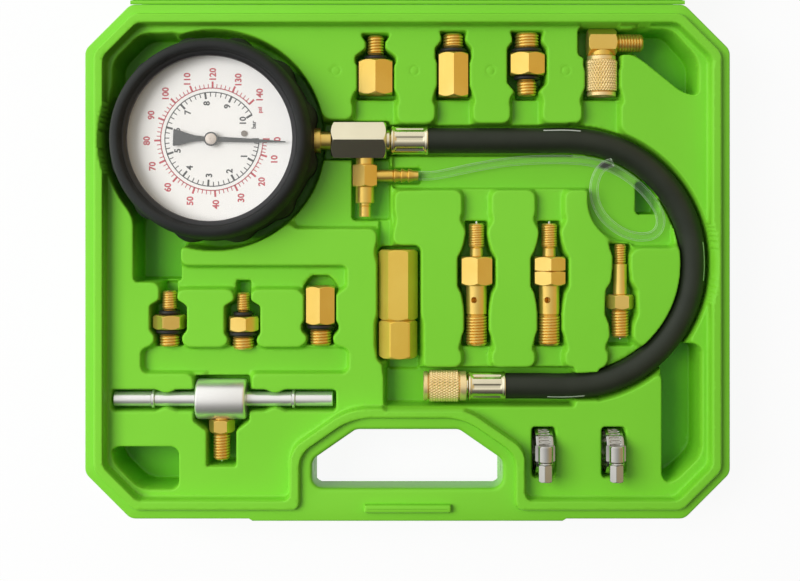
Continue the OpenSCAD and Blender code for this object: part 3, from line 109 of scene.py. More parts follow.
both.inputs[0].default_value = 1.0
for axis, stops, socket in (("X", SIDE_STOPS, 6), ("Y", DEPTH_STOPS, 7)):
    spread = nodes.new("ShaderNodeMapRange")
    spread.inputs["From Min"].default_value = -1.0
    studio = nodes.new("ShaderNodeValToRGB")
    while len(studio.color_ramp.elements) < len(stops):
        studio.color_ramp.elements.new(0.5)
    for stop, (at, colour) in zip(studio.color_ramp.elements, stops):
        stop.position, stop.color = at, (*colour, 1)
    links.new(split.outputs[axis], spread.inputs["Value"])
    links.new(spread.outputs["Result"], studio.inputs["Fac"])
    links.new(studio.outputs["Color"], both.inputs[socket])
links.new(both.outputs[2], nodes["Background"].inputs["Color"])
rays = nodes.new("ShaderNodeLightPath")
level = nodes.new("ShaderNodeMapRange")
level.inputs["To Min"].default_value = STUDIO_LEVEL
level.inputs["To Max"].default_value = STUDIO_LEVEL * FILL_SHARE
links.new(rays.outputs["Is Diffuse Ray"], level.inputs["Value"])
links.new(level.outputs["Result"], nodes["Background"].inputs["Strength"])

# %% [markdown]
# A finish is more than a colour. Moulded plastic drifts in tone and has a fine grain; turned brass has
# rings from the tool and dull patches from handling. One function makes them all: a slow noise mixes two
# colours, and a fine noise, stretched along the way the surface was worked, moves the roughness and lifts a
# small bump.

# %% Finishes
def worked_finish(name, colours, rough, metal=0.0, patch=35.0, grain=1200.0, bump=0.15, depth=0.05,
                  stretch=(1, 1, 1), **sockets):
    """Principled finish on Object coordinates. Colour = first to second by a slow noise; roughness = low to
    high by a fine stretched noise; bump = the same fine noise, depth millimetres high."""
    finish = bpy.data.materials.new(name)
    finish.use_nodes = True
    nodes, links = finish.node_tree.nodes, finish.node_tree.links
    shader = nodes["Principled BSDF"]
    place = nodes.new("ShaderNodeTexCoord")
    drift = nodes.new("ShaderNodeTexNoise")
    drift.inputs["Scale"].default_value = patch
    drift.inputs["Detail"].default_value = 5.0
    tone = nodes.new("ShaderNodeValToRGB")
    tone.color_ramp.elements[0].position, tone.color_ramp.elements[1].position = 0.3, 0.7
    for stop, colour in zip(tone.color_ramp.elements, colours):
        stop.color = (*colour, 1)
    worked = nodes.new("ShaderNodeMapping")
    worked.inputs["Scale"].default_value = stretch
    fine = nodes.new("ShaderNodeTexNoise")
    fine.inputs["Scale"].default_value = grain
    fine.inputs["Detail"].default_value = 3.0
    dull = nodes.new("ShaderNodeMapRange")
    dull.inputs["To Min"].default_value, dull.inputs["To Max"].default_value = rough
    lift = nodes.new("ShaderNodeBump")
    lift.inputs["Strength"].default_value = bump
    lift.inputs["Distance"].default_value = depth * MM
    links.new(place.outputs["Object"], drift.inputs["Vector"])
    links.new(drift.outputs["Fac"], tone.inputs["Fac"])
    links.new(tone.outputs["Color"], shader.inputs["Base Color"])
    links.new(place.outputs["Object"], worked.inputs["Vector"])
    links.new(worked.outputs["Vector"], fine.inputs["Vector"])
    links.new(fine.outputs["Fac"], dull.inputs["Value"])
    links.new(dull.outputs["Result"], shader.inputs["Roughness"])
    links.new(fine.outputs["Fac"], lift.inputs["Height"])
    links.new(lift.outputs["Normal"], shader.inputs["Normal"])
    shader.inputs["Metallic"].default_value = metal
    for socket, value in sockets.items():
        shader.inputs[socket.replace("_", " ")].default_value = value
    return finish


RINGS_ALONG_Y, RINGS_ALONG_X = (0.12, 1, 0.12), (1, 0.12, 0.12)
BRASS = ((0.95, 0.68, 0.19), (0.88, 0.58, 0.12))
GREEN = ((0.208, 0.64, 0.034), (0.184, 0.592, 0.026))
MOULDED = dict(rough=(0.34, 0.5), patch=9.0, grain=1500.0, bump=0.12, depth=0.04)
green_case = worked_finish("green_case", GREEN, **MOULDED)
brass_y, brass_x = [
    worked_finish(name, BRASS, (0.24, 0.4), metal=0.88, grain=2600.0, stretch=rings, bump=0.1, depth=0.02)
    for name, rings in (("brass_y", RINGS_ALONG_Y), ("brass_x", RINGS_ALONG_X))]
dull_brass = worked_finish("dull_brass", ((0.96, 0.68, 0.13), (0.88, 0.58, 0.08)), (0.42, 0.56), metal=0.7,
                           grain=2600.0, stretch=RINGS_ALONG_Y, bump=0.1, depth=0.02)
cut_brass = worked_finish("cut_brass", ((1.0, 0.80, 0.42), (0.95, 0.71, 0.33)), (0.26, 0.4), metal=0.8,
                          grain=2600.0)
nickel = worked_finish("nickel", ((0.92, 0.85, 0.62), (0.83, 0.76, 0.54)), (0.14, 0.3), metal=1.0,
                       grain=1800.0, bump=0.1, depth=0.02)
tee_metal = worked_finish("tee_metal", ((0.95, 0.94, 0.91), (0.89, 0.88, 0.85)), (0.26, 0.4), metal=0.85,
                          grain=2400.0, stretch=RINGS_ALONG_X, bump=0.25, depth=0.02)
chrome = worked_finish("chrome", ((0.58, 0.57, 0.53), (0.46, 0.45, 0.42)), (0.08, 0.18), metal=1.0,
                       bump=0.06, depth=0.02)
screw_brown = worked_finish("screw_brown", ((0.34, 0.29, 0.24), (0.24, 0.20, 0.17)), (0.3, 0.45), metal=1.0)
pin_steel = worked_finish("pin_steel", ((0.78, 0.78, 0.78), (0.62, 0.62, 0.62)), (0.15, 0.3), metal=1.0)
boot_rubber = worked_finish("boot_rubber", ((0.028, 0.030, 0.029), (0.017, 0.018, 0.018)), (0.5, 0.68),
                            patch=25.0, grain=1400.0, bump=0.25, depth=0.05, Specular_IOR_Level=0.2)
ring_rubber = worked_finish("ring_rubber", ((0.016, 0.016, 0.016), (0.010, 0.010, 0.010)), (0.28, 0.42))
bezel_paint = worked_finish("bezel_paint", ((0.022, 0.022, 0.023), (0.014, 0.014, 0.015)), (0.3, 0.42),
                            grain=900.0, bump=0.1)
print("finishes:", len(bpy.data.materials))

# %% [markdown]
# Every piece below ends in the same few steps: points and faces become a mesh, doubled points are merged,
# edges sharper than a given angle stay crisp, and the piece is tied to the body that it moves with.

# %% From points to pieces
def grid_faces(rows, cols, closed=True):
    """Four-sided faces between neighbours of a rows x cols grid, its columns wrapped if closed."""
    r, c = np.meshgrid(np.arange(rows - 1), np.arange(cols if closed else cols - 1), indexing="ij")
    right = (c + 1) % cols
    corners = [r * cols + c, r * cols + right, (r + 1) * cols + right, (r + 1) * cols + c]
    return np.stack(corners, -1).reshape(-1, 4)


def part_of(grid, closed=True):
    """Points and faces of a grid of points, wrapped round its columns if closed."""
    return grid.reshape(-1, 3), grid_faces(*grid.shape[:2], closed)


def mesh_of(name, parts):
    """One mesh of several (points in millimetres, faces) parts."""
    starts = np.cumsum([0] + [len(points) for points, _ in parts[:-1]])
    points = np.concatenate([points for points, _ in parts]) * MM
    corners = [np.asarray(faces, int) + start for (_, faces), start in zip(parts, starts)]
    sizes = np.concatenate([np.full(len(faces), faces.shape[1]) for faces in corners])
    mesh = bpy.data.meshes.new(name)
    mesh.vertices.add(len(points))
    mesh.vertices.foreach_set("co", points.ravel())
    mesh.loops.add(int(sizes.sum()))
    mesh.loops.foreach_set("vertex_index", np.concatenate([faces.ravel() for faces in corners]))
    mesh.polygons.add(len(sizes))
    mesh.polygons.foreach_set("loop_start", np.concatenate([[0], np.cumsum(sizes)[:-1]]))
    mesh.update(calc_edges=True)
    return mesh


def close_mesh(mesh):
    """Merges doubled points and turns every face outwards."""
    edit = bmesh.new()
    edit.from_mesh(mesh)
    bmesh.ops.remove_doubles(edit, verts=edit.verts, dist=0.002 * MM)
    bmesh.ops.dissolve_degenerate(edit, dist=0.001 * MM, edges=edit.edges)
    bmesh.ops.recalc_face_normals(edit, faces=edit.faces)
    edit.to_mesh(mesh)
    edit.free()


def piece(name, parts, body, finish, nodes=(), sharp=32.0, closed=True):
    """A finished object: its mesh is given a finish, tied to a body and set in place of CAD nodes."""
    mesh = mesh_of(name, parts) if isinstance(parts, list) else parts
    if closed:
        close_mesh(mesh)
    mesh.shade_smooth()
    if sharp:
        mesh.set_sharp_from_angle(angle=np.radians(sharp))
    mesh.materials.append(finish)
    obj = bpy.data.objects.new(name, mesh)
    scene.collection.objects.link(obj)
    if nodes:
        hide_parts(*nodes)
    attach(obj, body)
    return obj


# %% [markdown]
# The hose and the drain tube come before anything else, because their lengths are fixed. Each is a circle
# carried along a smooth curve through the same points as the solid model. Between two points the curve is a
# cubic whose slope at each point is set by the neighbours, so it passes through every point without a kink.

# %% Routes of the hose and the drain tube
HOSE_D, TUBE_D, TUBE_BORE = 13.6, 4.8, 3.2
HOSE_ROUTE = np.array([
    (11.2, 64.5, 28), (26, 64.5, 28), (42, 64.5, 28), (58, 64.5, 28), (73, 64.5, 28), (87.5, 64.5, 28),
    (104.5, 62.3, 28), (120.5, 55.7, 28), (134, 45.2, 28), (144.5, 31.6, 28), (151, 15.8, 28),
    (153, -1.2, 28), (151, -18.2, 28), (144.5, -34, 28), (134, -47.7, 28), (120.5, -58.2, 28),
    (104.5, -64.8, 28), (87.5, -67, 28), (70, -67, 28), (52.4, -67, 28)])
TUBE_ROUTE = np.array([
    (5.8, 45.7, 28), (13, 45.7, 28), (20, 46.8, 27.6), (33, 49.6, 27.2), (49, 52.4, 27.2), (65, 54, 27.2),
    (82, 54.4, 27.2), (96.5, 53.4, 27.2), (108.5, 50.2, 27.2), (117.5, 45.4, 27.2), (125, 39.5, 27.2),
    (130.5, 33.5, 27.2), (134.5, 27.5, 27.2), (136, 22, 27.2), (135, 17, 27.2), (131.5, 13.8, 27.2),
    (126.5, 12.8, 27.2), (121, 13.4, 27.2), (115.5, 15.4, 27.2), (110, 19, 27.2), (105, 24, 27.4),
    (101.5, 30, 28.2), (99.8, 36.5, 29.8), (100, 42.5, 31.6), (101.8, 47.5, 32.8), (105, 51, 33.2),
    (109, 52.6, 33.2)])


def smooth_route(route, steps):
    """Cubic through all route points: steps points between each pair, end slopes carried straight on."""
    padded = np.vstack([2 * route[0] - route[1], route, 2 * route[-1] - route[-2]])
    a, b, c, d = padded[:-3], padded[1:-2], padded[2:-1], padded[3:]
    t = (np.arange(steps) / steps)[None, :, None]
    a, b, c, d = (p[:, None, :] for p in (a, b, c, d))
    curve = 0.5 * (2 * b + (c - a) * t + (2 * a - 5 * b + 4 * c - d) * t ** 2
                   + (3 * b - a - 3 * c + d) * t ** 3)
    return np.vstack([curve.reshape(-1, 3), route[-1:]])


def run_of(path):
    """Distance along a path at each of its points."""
    return np.concatenate([[0], np.cumsum(np.linalg.norm(np.diff(path, axis=0), axis=1))])


def tube_grid(path, radius, sides):
    """Circle of a radius carried along a path: point = path + radius (cos v sideways + sin v up)."""
    ahead = np.gradient(path, axis=0)
    ahead /= np.linalg.norm(ahead, axis=1, keepdims=True)
    sideways = np.cross(ahead, (0, 0, 1))
    sideways /= np.linalg.norm(sideways, axis=1, keepdims=True)
    up = np.cross(sideways, ahead)
    turn = np.linspace(0, 2 * np.pi, sides, endpoint=False)[None, :, None]
    ring = np.cos(turn) * sideways[:, None] + np.sin(turn) * up[:, None]
    return path[:, None] + np.reshape(radius, (-1, 1, 1)) * ring


hose_path = smooth_route(HOSE_ROUTE, 12)
tube_path = smooth_route(TUBE_ROUTE, 8)

# %% [markdown]
# The hose is black nitrile with a faint cloth mark and plain white dashes along its top, as such hoses
# carry. The dashes follow the hose, so the finish reads a UV map: u runs along the hose in metres, v round
# it.

# %% Hose
DASH_SIDE, DASH_WIDTH, DASH_FIRST, DASH_PITCH, DASH_HALF = 0.39, 0.011, 0.071, 0.1075, 0.0097
DASH_WHITE = (0.55, 0.57, 0.55)


def give_uv(mesh, u, v):
    """UV map from one u and one v value for each point."""
    corner = np.empty(len(mesh.loops), int)
    mesh.loops.foreach_get("vertex_index", corner)
    layer = mesh.uv_layers.new(name="along")
    layer.data.foreach_set("uv", np.stack([u[corner], v[corner]], -1).ravel())


def math_step(tree, operation, *values, clamp=False):
    """Output of a Math node. A number is set on its socket; another node's output is linked to it."""
    step = tree.nodes.new("ShaderNodeMath")
    step.operation, step.use_clamp = operation, clamp
    for socket, value in zip(step.inputs, values):
        if isinstance(value, (int, float)):
            socket.default_value = value
        else:
            tree.links.new(value, socket)
    return step.outputs["Value"]


def second_colour(finish, share, colour):
    """Base colour = the finish's own where share is 0, and a second colour where it is 1."""
    tree = finish.node_tree
    base = tree.nodes["Principled BSDF"].inputs["Base Color"]
    mix = tree.nodes.new("ShaderNodeMix")
    mix.data_type = "RGBA"
    tree.links.new(share, mix.inputs["Factor"])
    tree.links.new(base.links[0].from_socket, mix.inputs[6])
    mix.inputs[7].default_value = (*colour, 1)
    tree.links.new(mix.outputs[2], base)


def hose_finish():
    """Black rubber that turns pale where two UV tests agree: near the top line and in a dash."""
    finish = worked_finish("hose_rubber", ((0.018, 0.023, 0.014), (0.012, 0.016, 0.009)), (0.42, 0.56),
                           patch=60.0, grain=1600.0, bump=0.2, depth=0.04, Specular_IOR_Level=0.4)
    tree = finish.node_tree
    along = tree.nodes.new("ShaderNodeUVMap")
    along.uv_map = "along"
    split = tree.nodes.new("ShaderNodeSeparateXYZ")
    tree.links.new(along.outputs["UV"], split.inputs["Vector"])
    near_line = math_step(tree, "COMPARE", split.outputs["Y"], DASH_SIDE, DASH_WIDTH)
    since_first = math_step(tree, "SUBTRACT", split.outputs["X"], DASH_FIRST)
    from_middle = math_step(tree, "PINGPONG", since_first, DASH_PITCH / 2)
    in_dash = math_step(tree, "LESS_THAN", from_middle, DASH_HALF)
    second_colour(finish, math_step(tree, "MULTIPLY", near_line, in_dash), DASH_WHITE)
    return finish


SIDES = 40


def round_cord(path, radius):
    """Grid round a path, closed to a point at both ends, its seam doubled for one turn of UV."""
    ring = tube_grid(path, np.full(len(path), radius), SIDES)
    ring = np.concatenate([ring, ring[:, :1]], axis=1)
    ends = np.broadcast_to(path[[0, -1], None], (2, SIDES + 1, 3))
    return np.concatenate([ends[:1], ring, ends[1:]])


hose_grid = round_cord(hose_path, HOSE_D / 2)
hose_run = run_of(hose_path)[np.r_[0, 0:len(hose_path), -1]] * MM
hose_mesh = mesh_of("hose_rubber", [part_of(hose_grid, closed=False)])
give_uv(hose_mesh, np.repeat(hose_run, SIDES + 1), np.tile(np.linspace(0, 1, SIDES + 1), len(hose_grid)))
hose = piece("hose_rubber", hose_mesh, "gauge_set", hose_finish(), ["hose"], sharp=50.0)
print("hose faces:", len(hose_mesh.polygons))

# %% [markdown]
# The drain tube is clear vinyl with a bore. Bent light in so thin a wall can't be seen at this size, so the
# finish is a faint see-through one with a bright gloss: the tray shows through it, and its edges catch the
# lamp. A ray that grazes the wall passes through more of it, so Layer Weight makes the two edges denser
# than the middle.

# %% Drain tube
GRAZING_FROM, CLEAR_MIDDLE, DENSE_EDGE = 0.45, 0.008, 1.0
clear_vinyl = worked_finish("clear_vinyl", ((0.94, 1.0, 0.92), (0.90, 0.98, 0.88)), (0.05, 0.12),
                            patch=40.0, bump=0.05)
nodes, links = clear_vinyl.node_tree.nodes, clear_vinyl.node_tree.links
grazing, dense = nodes.new("ShaderNodeLayerWeight"), nodes.new("ShaderNodeMapRange")
grazing.inputs["Blend"].default_value = 0.5
dense.inputs["From Min"].default_value = GRAZING_FROM
dense.inputs["To Min"].default_value, dense.inputs["To Max"].default_value = CLEAR_MIDDLE, DENSE_EDGE
links.new(grazing.outputs["Facing"], dense.inputs["Value"])
links.new(dense.outputs["Result"], nodes["Principled BSDF"].inputs["Alpha"])
outer, inner = tube_grid(tube_path, TUBE_D / 2, SIDES), tube_grid(tube_path, TUBE_BORE / 2, SIDES)
rings = np.concatenate([outer, inner[::-1], outer[:1]])
drain_tube = piece("drain_tube_vinyl", [part_of(rings)], "gauge_set", clear_vinyl,
                   ["drain_tube"], sharp=50.0)
print("drain tube faces:", len(drain_tube.data.polygons))

# %% [markdown]
# The case is blown from one sheet of plastic, so the tray has no sharp corner anywhere: every wall leans a
# little and every edge is rounded. Cutting boxes from a block and rounding the edges afterwards often fails
# where pockets meet. A height field is safer. For each point of a fine grid we ask how far it is from the
# outline of each pocket, and the distance alone says how deep the surface lies there: level outside, a
# rounded ramp at the edge, level on the floor.

# %% Distances to outlines
DECK, PART, LIP_TOP, BASE_WELL = 33.0, 37.85, 41.35, 10.0
CASE_W, CASE_D, CORNER = 341.0, 272.0, 24.0
GRID_STEP = 0.52
half_w, half_d = CASE_W / 2, CASE_D / 2
X, Y = np.meshgrid(np.arange(-half_w, half_w + GRID_STEP, GRID_STEP),
                   np.arange(-half_d, half_d + GRID_STEP, GRID_STEP),
                   indexing="ij")


def blend_min(a, b, soft):
    """The lesser of two distances, with the corner between them filled over a soft width."""
    near = np.maximum(soft - np.abs(a - b), 0) / soft
    return np.minimum(a, b) - near ** 2 * soft / 4


def blend_max(a, b, soft):
    """The greater of two distances, with the corner rounded over a soft width."""
    return -blend_min(-a, -b, soft)


def slot(x0, y0, x1, y1, r=3.0):
    """Distance to a rectangle with corner radius r, negative inside."""
    r = min(r, (x1 - x0) / 2, (y1 - y0) / 2)
    dx = np.abs(X - (x0 + x1) / 2) - (x1 - x0) / 2 + r
    dy = np.abs(Y - (y0 + y1) / 2) - (y1 - y0) / 2 + r
    return np.hypot(np.maximum(dx, 0), np.maximum(dy, 0)) + np.minimum(np.maximum(dx, dy), 0) - r


def disc(x, y, r):
    """Distance to a circle, negative inside."""
    return np.hypot(X - x, Y - y) - r


def cut_side(distance, a, b, soft=4.0):
    """Cuts a plan along the line from a to b and keeps what lies to its left."""
    along = np.subtract(b, a) / np.hypot(*np.subtract(b, a))
    right = (X - a[0]) * along[1] - (Y - a[1]) * along[0]
    return blend_max(distance, right, soft)


def joined(plans, soft=2.5):
    """One outline round several plans, their inner corners filled over a soft width."""
    total = plans[0]
    for plan in plans[1:]:
        total = blend_min(total, plan, soft)
    return total


def ramp(t, bend=0.3):
    """Rises from 0 to 1 as t does, straight in the middle and rounded over the share bend at both ends."""
    t = np.clip(t, 0, 1)
    slope = 1 / (1 - bend)
    low, high = slope * t ** 2 / (2 * bend), 1 - slope * (1 - t) ** 2 / (2 * bend)
    return np.where(t < bend, low, np.where(t > 1 - bend, high, slope * (t - bend / 2)))


def case_edge(x, y, soft=2.5):
    """Distance inwards from the edge of a case half: a rectangle, its corners cut at 45 degrees."""
    side, end = half_w - np.abs(x), half_d - np.abs(y)
    corner = (half_w + half_d - CORNER - np.abs(x) - np.abs(y)) / np.sqrt(2)
    return blend_min(blend_min(side, end, soft), corner, soft)


GRIP_W, GRIP_BACK_W, BAR_T, SHOULDER, GRIP_BACK = 100.8, 54.6, 16.0, 31.0, 47.0
LEDGE, LIP_INSET, LIP_T = 6.0, 4.5, 5.5
slope_run, slope_rise = (GRIP_W - GRIP_BACK_W) / 2, GRIP_BACK - SHOULDER
slope_len = np.hypot(slope_run, slope_rise)


def grip_edge(x, y, soft=6.0):
    """Distance outwards from the hand hole: two sides, a back, two shoulders, open to the front."""
    side, back = np.abs(x) - GRIP_W / 2, y + half_d - GRIP_BACK
    shoulder = ((np.abs(x) - GRIP_W / 2) * slope_rise + (y + half_d - SHOULDER) * slope_run) / slope_len
    return blend_max(blend_max(side, shoulder, soft), back, soft)


lip_depth = blend_min(case_edge(X, Y) - LIP_INSET, grip_edge(X, Y) - LEDGE, 5.0)
print("grid:", X.shape, "lip from", round(float(lip_depth.min()), 1), "to",
      round(float(lip_depth.max()), 1))

# %% [markdown]
# Now the pockets. Their outlines follow the fittings: wide at a hexagon, narrow at a thread, with small
# round nubs that pinch a thread and hold it. Shallow finger recesses run on from many of them.

# %% Plans of the pockets
SMOOTH = np.array([1, 2, 3, 2, 1]) / 9


def follow(x, knots):
    """Plan round a line x: half width straight through (y, half width) knots, its kinks smoothed."""
    y, half = np.array(knots[::-1], float).T
    half = np.convolve(np.interp(Y[0], y, half), SMOOTH, "same")
    side = (np.abs(X - x) - half) / np.hypot(1, np.gradient(half, GRID_STEP))
    return blend_max(side, np.maximum(Y - y[-1], y[0] - Y), 1.2)


def less(plan, island, soft=1.5):
    """A plan with an island of deck left standing in it."""
    return blend_max(plan, -island, soft)


TOP_1 = [(121.4, 7.4), (119.5, 7.2), (116.9, 5.2), (113.2, 5.3), (109.1, 10.9), (105.7, 10.9), (104.3, 9.8),
         (91.2, 9.8), (89, 10.9), (85.9, 10.9)]
TOP_2 = [(122.6, 7.3), (119.5, 6.4), (117.2, 6.5), (113.5, 9.7), (108.3, 9.7), (105.7, 8.7), (93.5, 8.7),
         (90.9, 9.7), (86, 9.7)]
TOP_3 = [(122.6, 9), (119.7, 8), (116.8, 7.8), (113.5, 10.6), (94.9, 10.6), (90.5, 6.5), (85.7, 6.3)]
LEFT_1 = [(-10, 4.5), (-20.5, 4.8), (-23.8, 9.8), (-37, 9.8), (-39.5, 7.4), (-42.5, 7.3), (-46, 8)]
LEFT_2 = [(-10, 4.3), (-21, 4.5), (-24, 9.5), (-38.5, 9.5), (-41, 7.6), (-43, 7.5), (-46, 8)]
LEFT_3 = [(-7.3, 4.5), (-9.7, 7.1), (-13.4, 9.6), (-16.2, 9.6), (-18.1, 8.5), (-31.9, 8.5), (-33.8, 9.9),
          (-37, 9.9), (-40, 7), (-42.5, 7), (-45.5, 8)]
VALVE = [(21.9, 6.8), (19.1, 6.2), (14.8, 5.9), (9.8, 6.8), (5.2, 8.3), (1.8, 10.2), (-13.6, 10.2),
         (-17.1, 8.3), (-22.8, 7.2), (-27.8, 6.7), (-37, 6.7), (-40.5, 8), (-46.3, 8.3)]
SLIM = [(9.6, 6.5), (7, 6.3), (3, 4.8), (-4, 4.8), (-11, 5.6), (-15.5, 8.4), (-28.2, 8.8), (-34, 6.5),
        (-40, 6.2), (-44.5, 7.3), (-46.2, 7.3)]
ELBOW_NUT = [(112, 10), (103.4, 10), (101.8, 9.3), (92.2, 9.3), (90.6, 10), (85.7, 10)]
TEE = [(-61.1, 14.9), (-85.2, 14.9), (-90.5, 7.8), (-109.4, 7.8)]
fittings = [follow(-17, TOP_1), follow(24.5, TOP_2), follow(63.8, TOP_3), follow(-127.5, LEFT_1),
            follow(-88, LEFT_2), follow(-46.6, LEFT_3), follow(36.9, VALVE), follow(76, VALVE),
            follow(114.1, SLIM)]
print("fitting pockets:", len(fittings))

# %% [markdown]
# The hose lane goes round the bend close to the hose on the inside and with a finger's room outside. Two
# tongues of deck pinch the hose near its end. Deep wells in the corners and beside the gauge let a finger
# reach under a piece.

# %% Plans of the lanes and wells
BEND_X, BEND_Y, BEND_R, HOSE_IN, HOSE_OUT = 87.5, -1.25, 65.75, 7.6, 9.0
from_bend = disc(BEND_X, BEND_Y, BEND_R)
bend = np.maximum(np.maximum(from_bend - HOSE_OUT, -HOSE_IN - from_bend), BEND_X - 1 - X)
hose_lane = joined([slot(-12, 55.5, 90, 73.5, 1.0), slot(-12.5, -77.5, 90, -56.5, 2.0), bend], 1.0)
hose_lane = less(less(hose_lane, slot(89.3, -59.4, 102, -48, 1.5)), slot(89.3, -86, 102, -74.4, 1.5))

gauge_well = joined([disc(-103, 64.5, 58.9), slot(-146, -11.2, -121, 64)], 4.0)
back_left = cut_side(slot(-157, 80, -122, 121.5, 4), (-142, 121.5), (-157, 106.5))
back_right = cut_side(cut_side(slot(121.4, 88.7, 155.2, 123.6, 3), (155.2, 107.3), (140.7, 123.6)),
                      (121.4, 110.2), (148.1, 88.7))
front_left = cut_side(slot(-157.5, -121.5, -122, -99, 4), (-157.5, -106.5), (-142.5, -121.5))
front_right = cut_side(slot(135.6, -118, 156.8, -44, 5), (141.5, -118), (156.8, -103))
block_well = slot(-50, 53.5, -9, 75.5, 2)
bleed_well = joined([slot(-30.5, 21, -8.5, 56, 3), slot(-23, 40.5, 8, 50.5, 2)], 2.0)
bleed_shelf = slot(-62, 17.4, -7.8, 56, 4)
coupling_well = joined([slot(-16.2, -48, 7.2, 8.5, 3.7), slot(-11.4, -60, 7.2, -44, 3)], 2.0)
coupling_link = slot(-16.2, 2, -7.8, 24, 2)
nut_room = slot(-16.4, -53.8, 7.2, -31.0, 3)
elbow_well = joined([slot(90.9, 108.7, 114, 125, 3), follow(104, ELBOW_NUT),
                     slot(100, 110.2, 128, 123.6, 1.5)], 1.5)
tee_well = joined([slot(-158, -80, -38, -68.4, 2), follow(-99.2, TEE)], 1.5)
for at in (-128.6, -70.4):
    tee_well = less(less(tee_well, disc(at, -63.6, 6.6)), disc(at, -84.8, 6.6))
clamp_wells = joined([slot(66.2, -115.3, 78.8, -88.3, 2), slot(103.5, -115.3, 116.1, -88.3, 2)], 1.0)

loop_shelf = joined([disc(119.5, 32.6, 23.4), slot(119, 7, 143.5, 30, 4)], 3.0)
tube_lane = joined([slot(-9, 38, 112, 58, 3), loop_shelf], 3.0)
left_lanes = joined([slot(-123, -14.8, -32.3, -2.4, 3), slot(-142, -59.8, -31.3, -46, 4),
                     slot(-107, -68, -84.3, -55, 3)], 3.0)
TOP_LANES = [(-17.4, 11.6), (24.8, 10.0), (63.4, 8.5), (103.4, 10.3)]
top_lanes = joined([slot(x - half, 66, x + half, 88, 3) for x, half in TOP_LANES], 1.0)
VALVE_X = (36.9, 76.0)
valve_lanes = joined([slot(x - 7.8, y0, x + 7.8, y1, 2.5)
                      for x in VALVE_X for y0, y1 in ((20, 40), (-58, -44.5))], 1.0)
slim_lane = slot(107.2, -58, 122.5, -44.5, 2.5)
print("lanes and wells drawn")

# %% [markdown]
# Each plan sinks to its own floor. Taking the lowest of all the surfaces joins them without any cutting, so
# a finger recess runs into its pocket with no seam. The islands of deck between them have round corners: a
# last shallow plan joins all the others with a soft fill, and so takes the corners off.

# %% The tray
RIM = 1.0


def sunk(plan, floor, wall=1.4):
    """Deck outside a plan, a quarter circle of radius RIM over its edge, then a wall to a floor."""
    over = RIM - np.sqrt(RIM ** 2 - np.clip(RIM - plan, 0, RIM) ** 2)
    return DECK - over - (DECK - floor - RIM) * (1 - (1 - np.clip(-plan / wall, 0, 1)) ** 1.6)


RECESS, SHELF, SHALLOW, ISLAND_SOFT = 24.5, 26.5, 27.5, 5.0
FITTING_FLOORS = (17.5, 18.7, 17.3, 18.5, 18.5, 19.0, 18.3, 18.3, 21.0)
FLOORS = [*zip(fittings, FITTING_FLOORS)] + [
    (hose_lane, 19.9), (gauge_well, 9.9), (back_left, BASE_WELL), (back_right, BASE_WELL),
    (front_left, BASE_WELL), (front_right, BASE_WELL), (block_well, 16.8), (bleed_well, 20.0),
    (bleed_shelf, SHELF), (elbow_well, 19.2), (coupling_well, 18.4), (coupling_link, RECESS),
    (nut_room, 17.2), (tee_well, 17.0), (clamp_wells, 15.7), (slot(122.5, 24.4, 136, 43), BASE_WELL),
    (tube_lane, RECESS), (left_lanes, SHALLOW), (top_lanes, SHELF), (valve_lanes, SHALLOW),
    (slim_lane, SHALLOW),
]
tray = np.full_like(X, DECK)
MARK_X, MARK_Y, MARK_R, MARK_HALF, MARK_DEPTH = (-38.2, 3.7, 44.2, 84.4), 101.5, 2.3, 0.45, 0.35
for x in MARK_X:
    ring = np.abs(disc(x, MARK_Y, MARK_R)) - MARK_HALF
    tray -= MARK_DEPTH * ramp(-ring / MARK_HALF)
inner_wall = (LIP_TOP - DECK) * (1 - ramp((lip_depth - LIP_T + 0.2) / 0.9))
tray = tray + inner_wall
together = joined([plan for plan, _ in FLOORS], ISLAND_SOFT)
for plan, floor in FLOORS + [(together, SHALLOW)]:
    tray = np.minimum(tray, np.where(plan < RIM, sunk(plan, floor), LIP_TOP))
outer_wall = PART - 1.0 + (LIP_TOP - PART + 1.0) * ramp((lip_depth + 0.25) / 1.3, 0.4)
tray = np.minimum(tray, outer_wall)


def height_mesh(name, height, keep, faces_max):
    """Mesh of a height field where keep is true, thinned so that flat places use few faces."""
    rows, cols = height.shape
    points = np.stack([X, Y, height], -1).reshape(-1, 3)
    faces = grid_faces(rows, cols, closed=False)
    faces = faces[keep.ravel()[faces].all(1)][:, ::-1]
    used, faces = np.unique(faces, return_inverse=True)
    mesh = mesh_of(name, [(points[used], faces.reshape(-1, 4))])
    rough = bpy.data.objects.new(name + "_rough", mesh)
    scene.collection.objects.link(rough)
    thin = rough.modifiers.new("thin", "DECIMATE")
    thin.ratio = min(1.0, faces_max / (2 * len(mesh.polygons)))
    done = bpy.data.meshes.new_from_object(rough.evaluated_get(bpy.context.evaluated_depsgraph_get()))
    bpy.data.objects.remove(rough)
    done.name = name
    return done


print("tray from", round(float(tray.min()), 1), "to", round(float(tray.max()), 1), "mm")
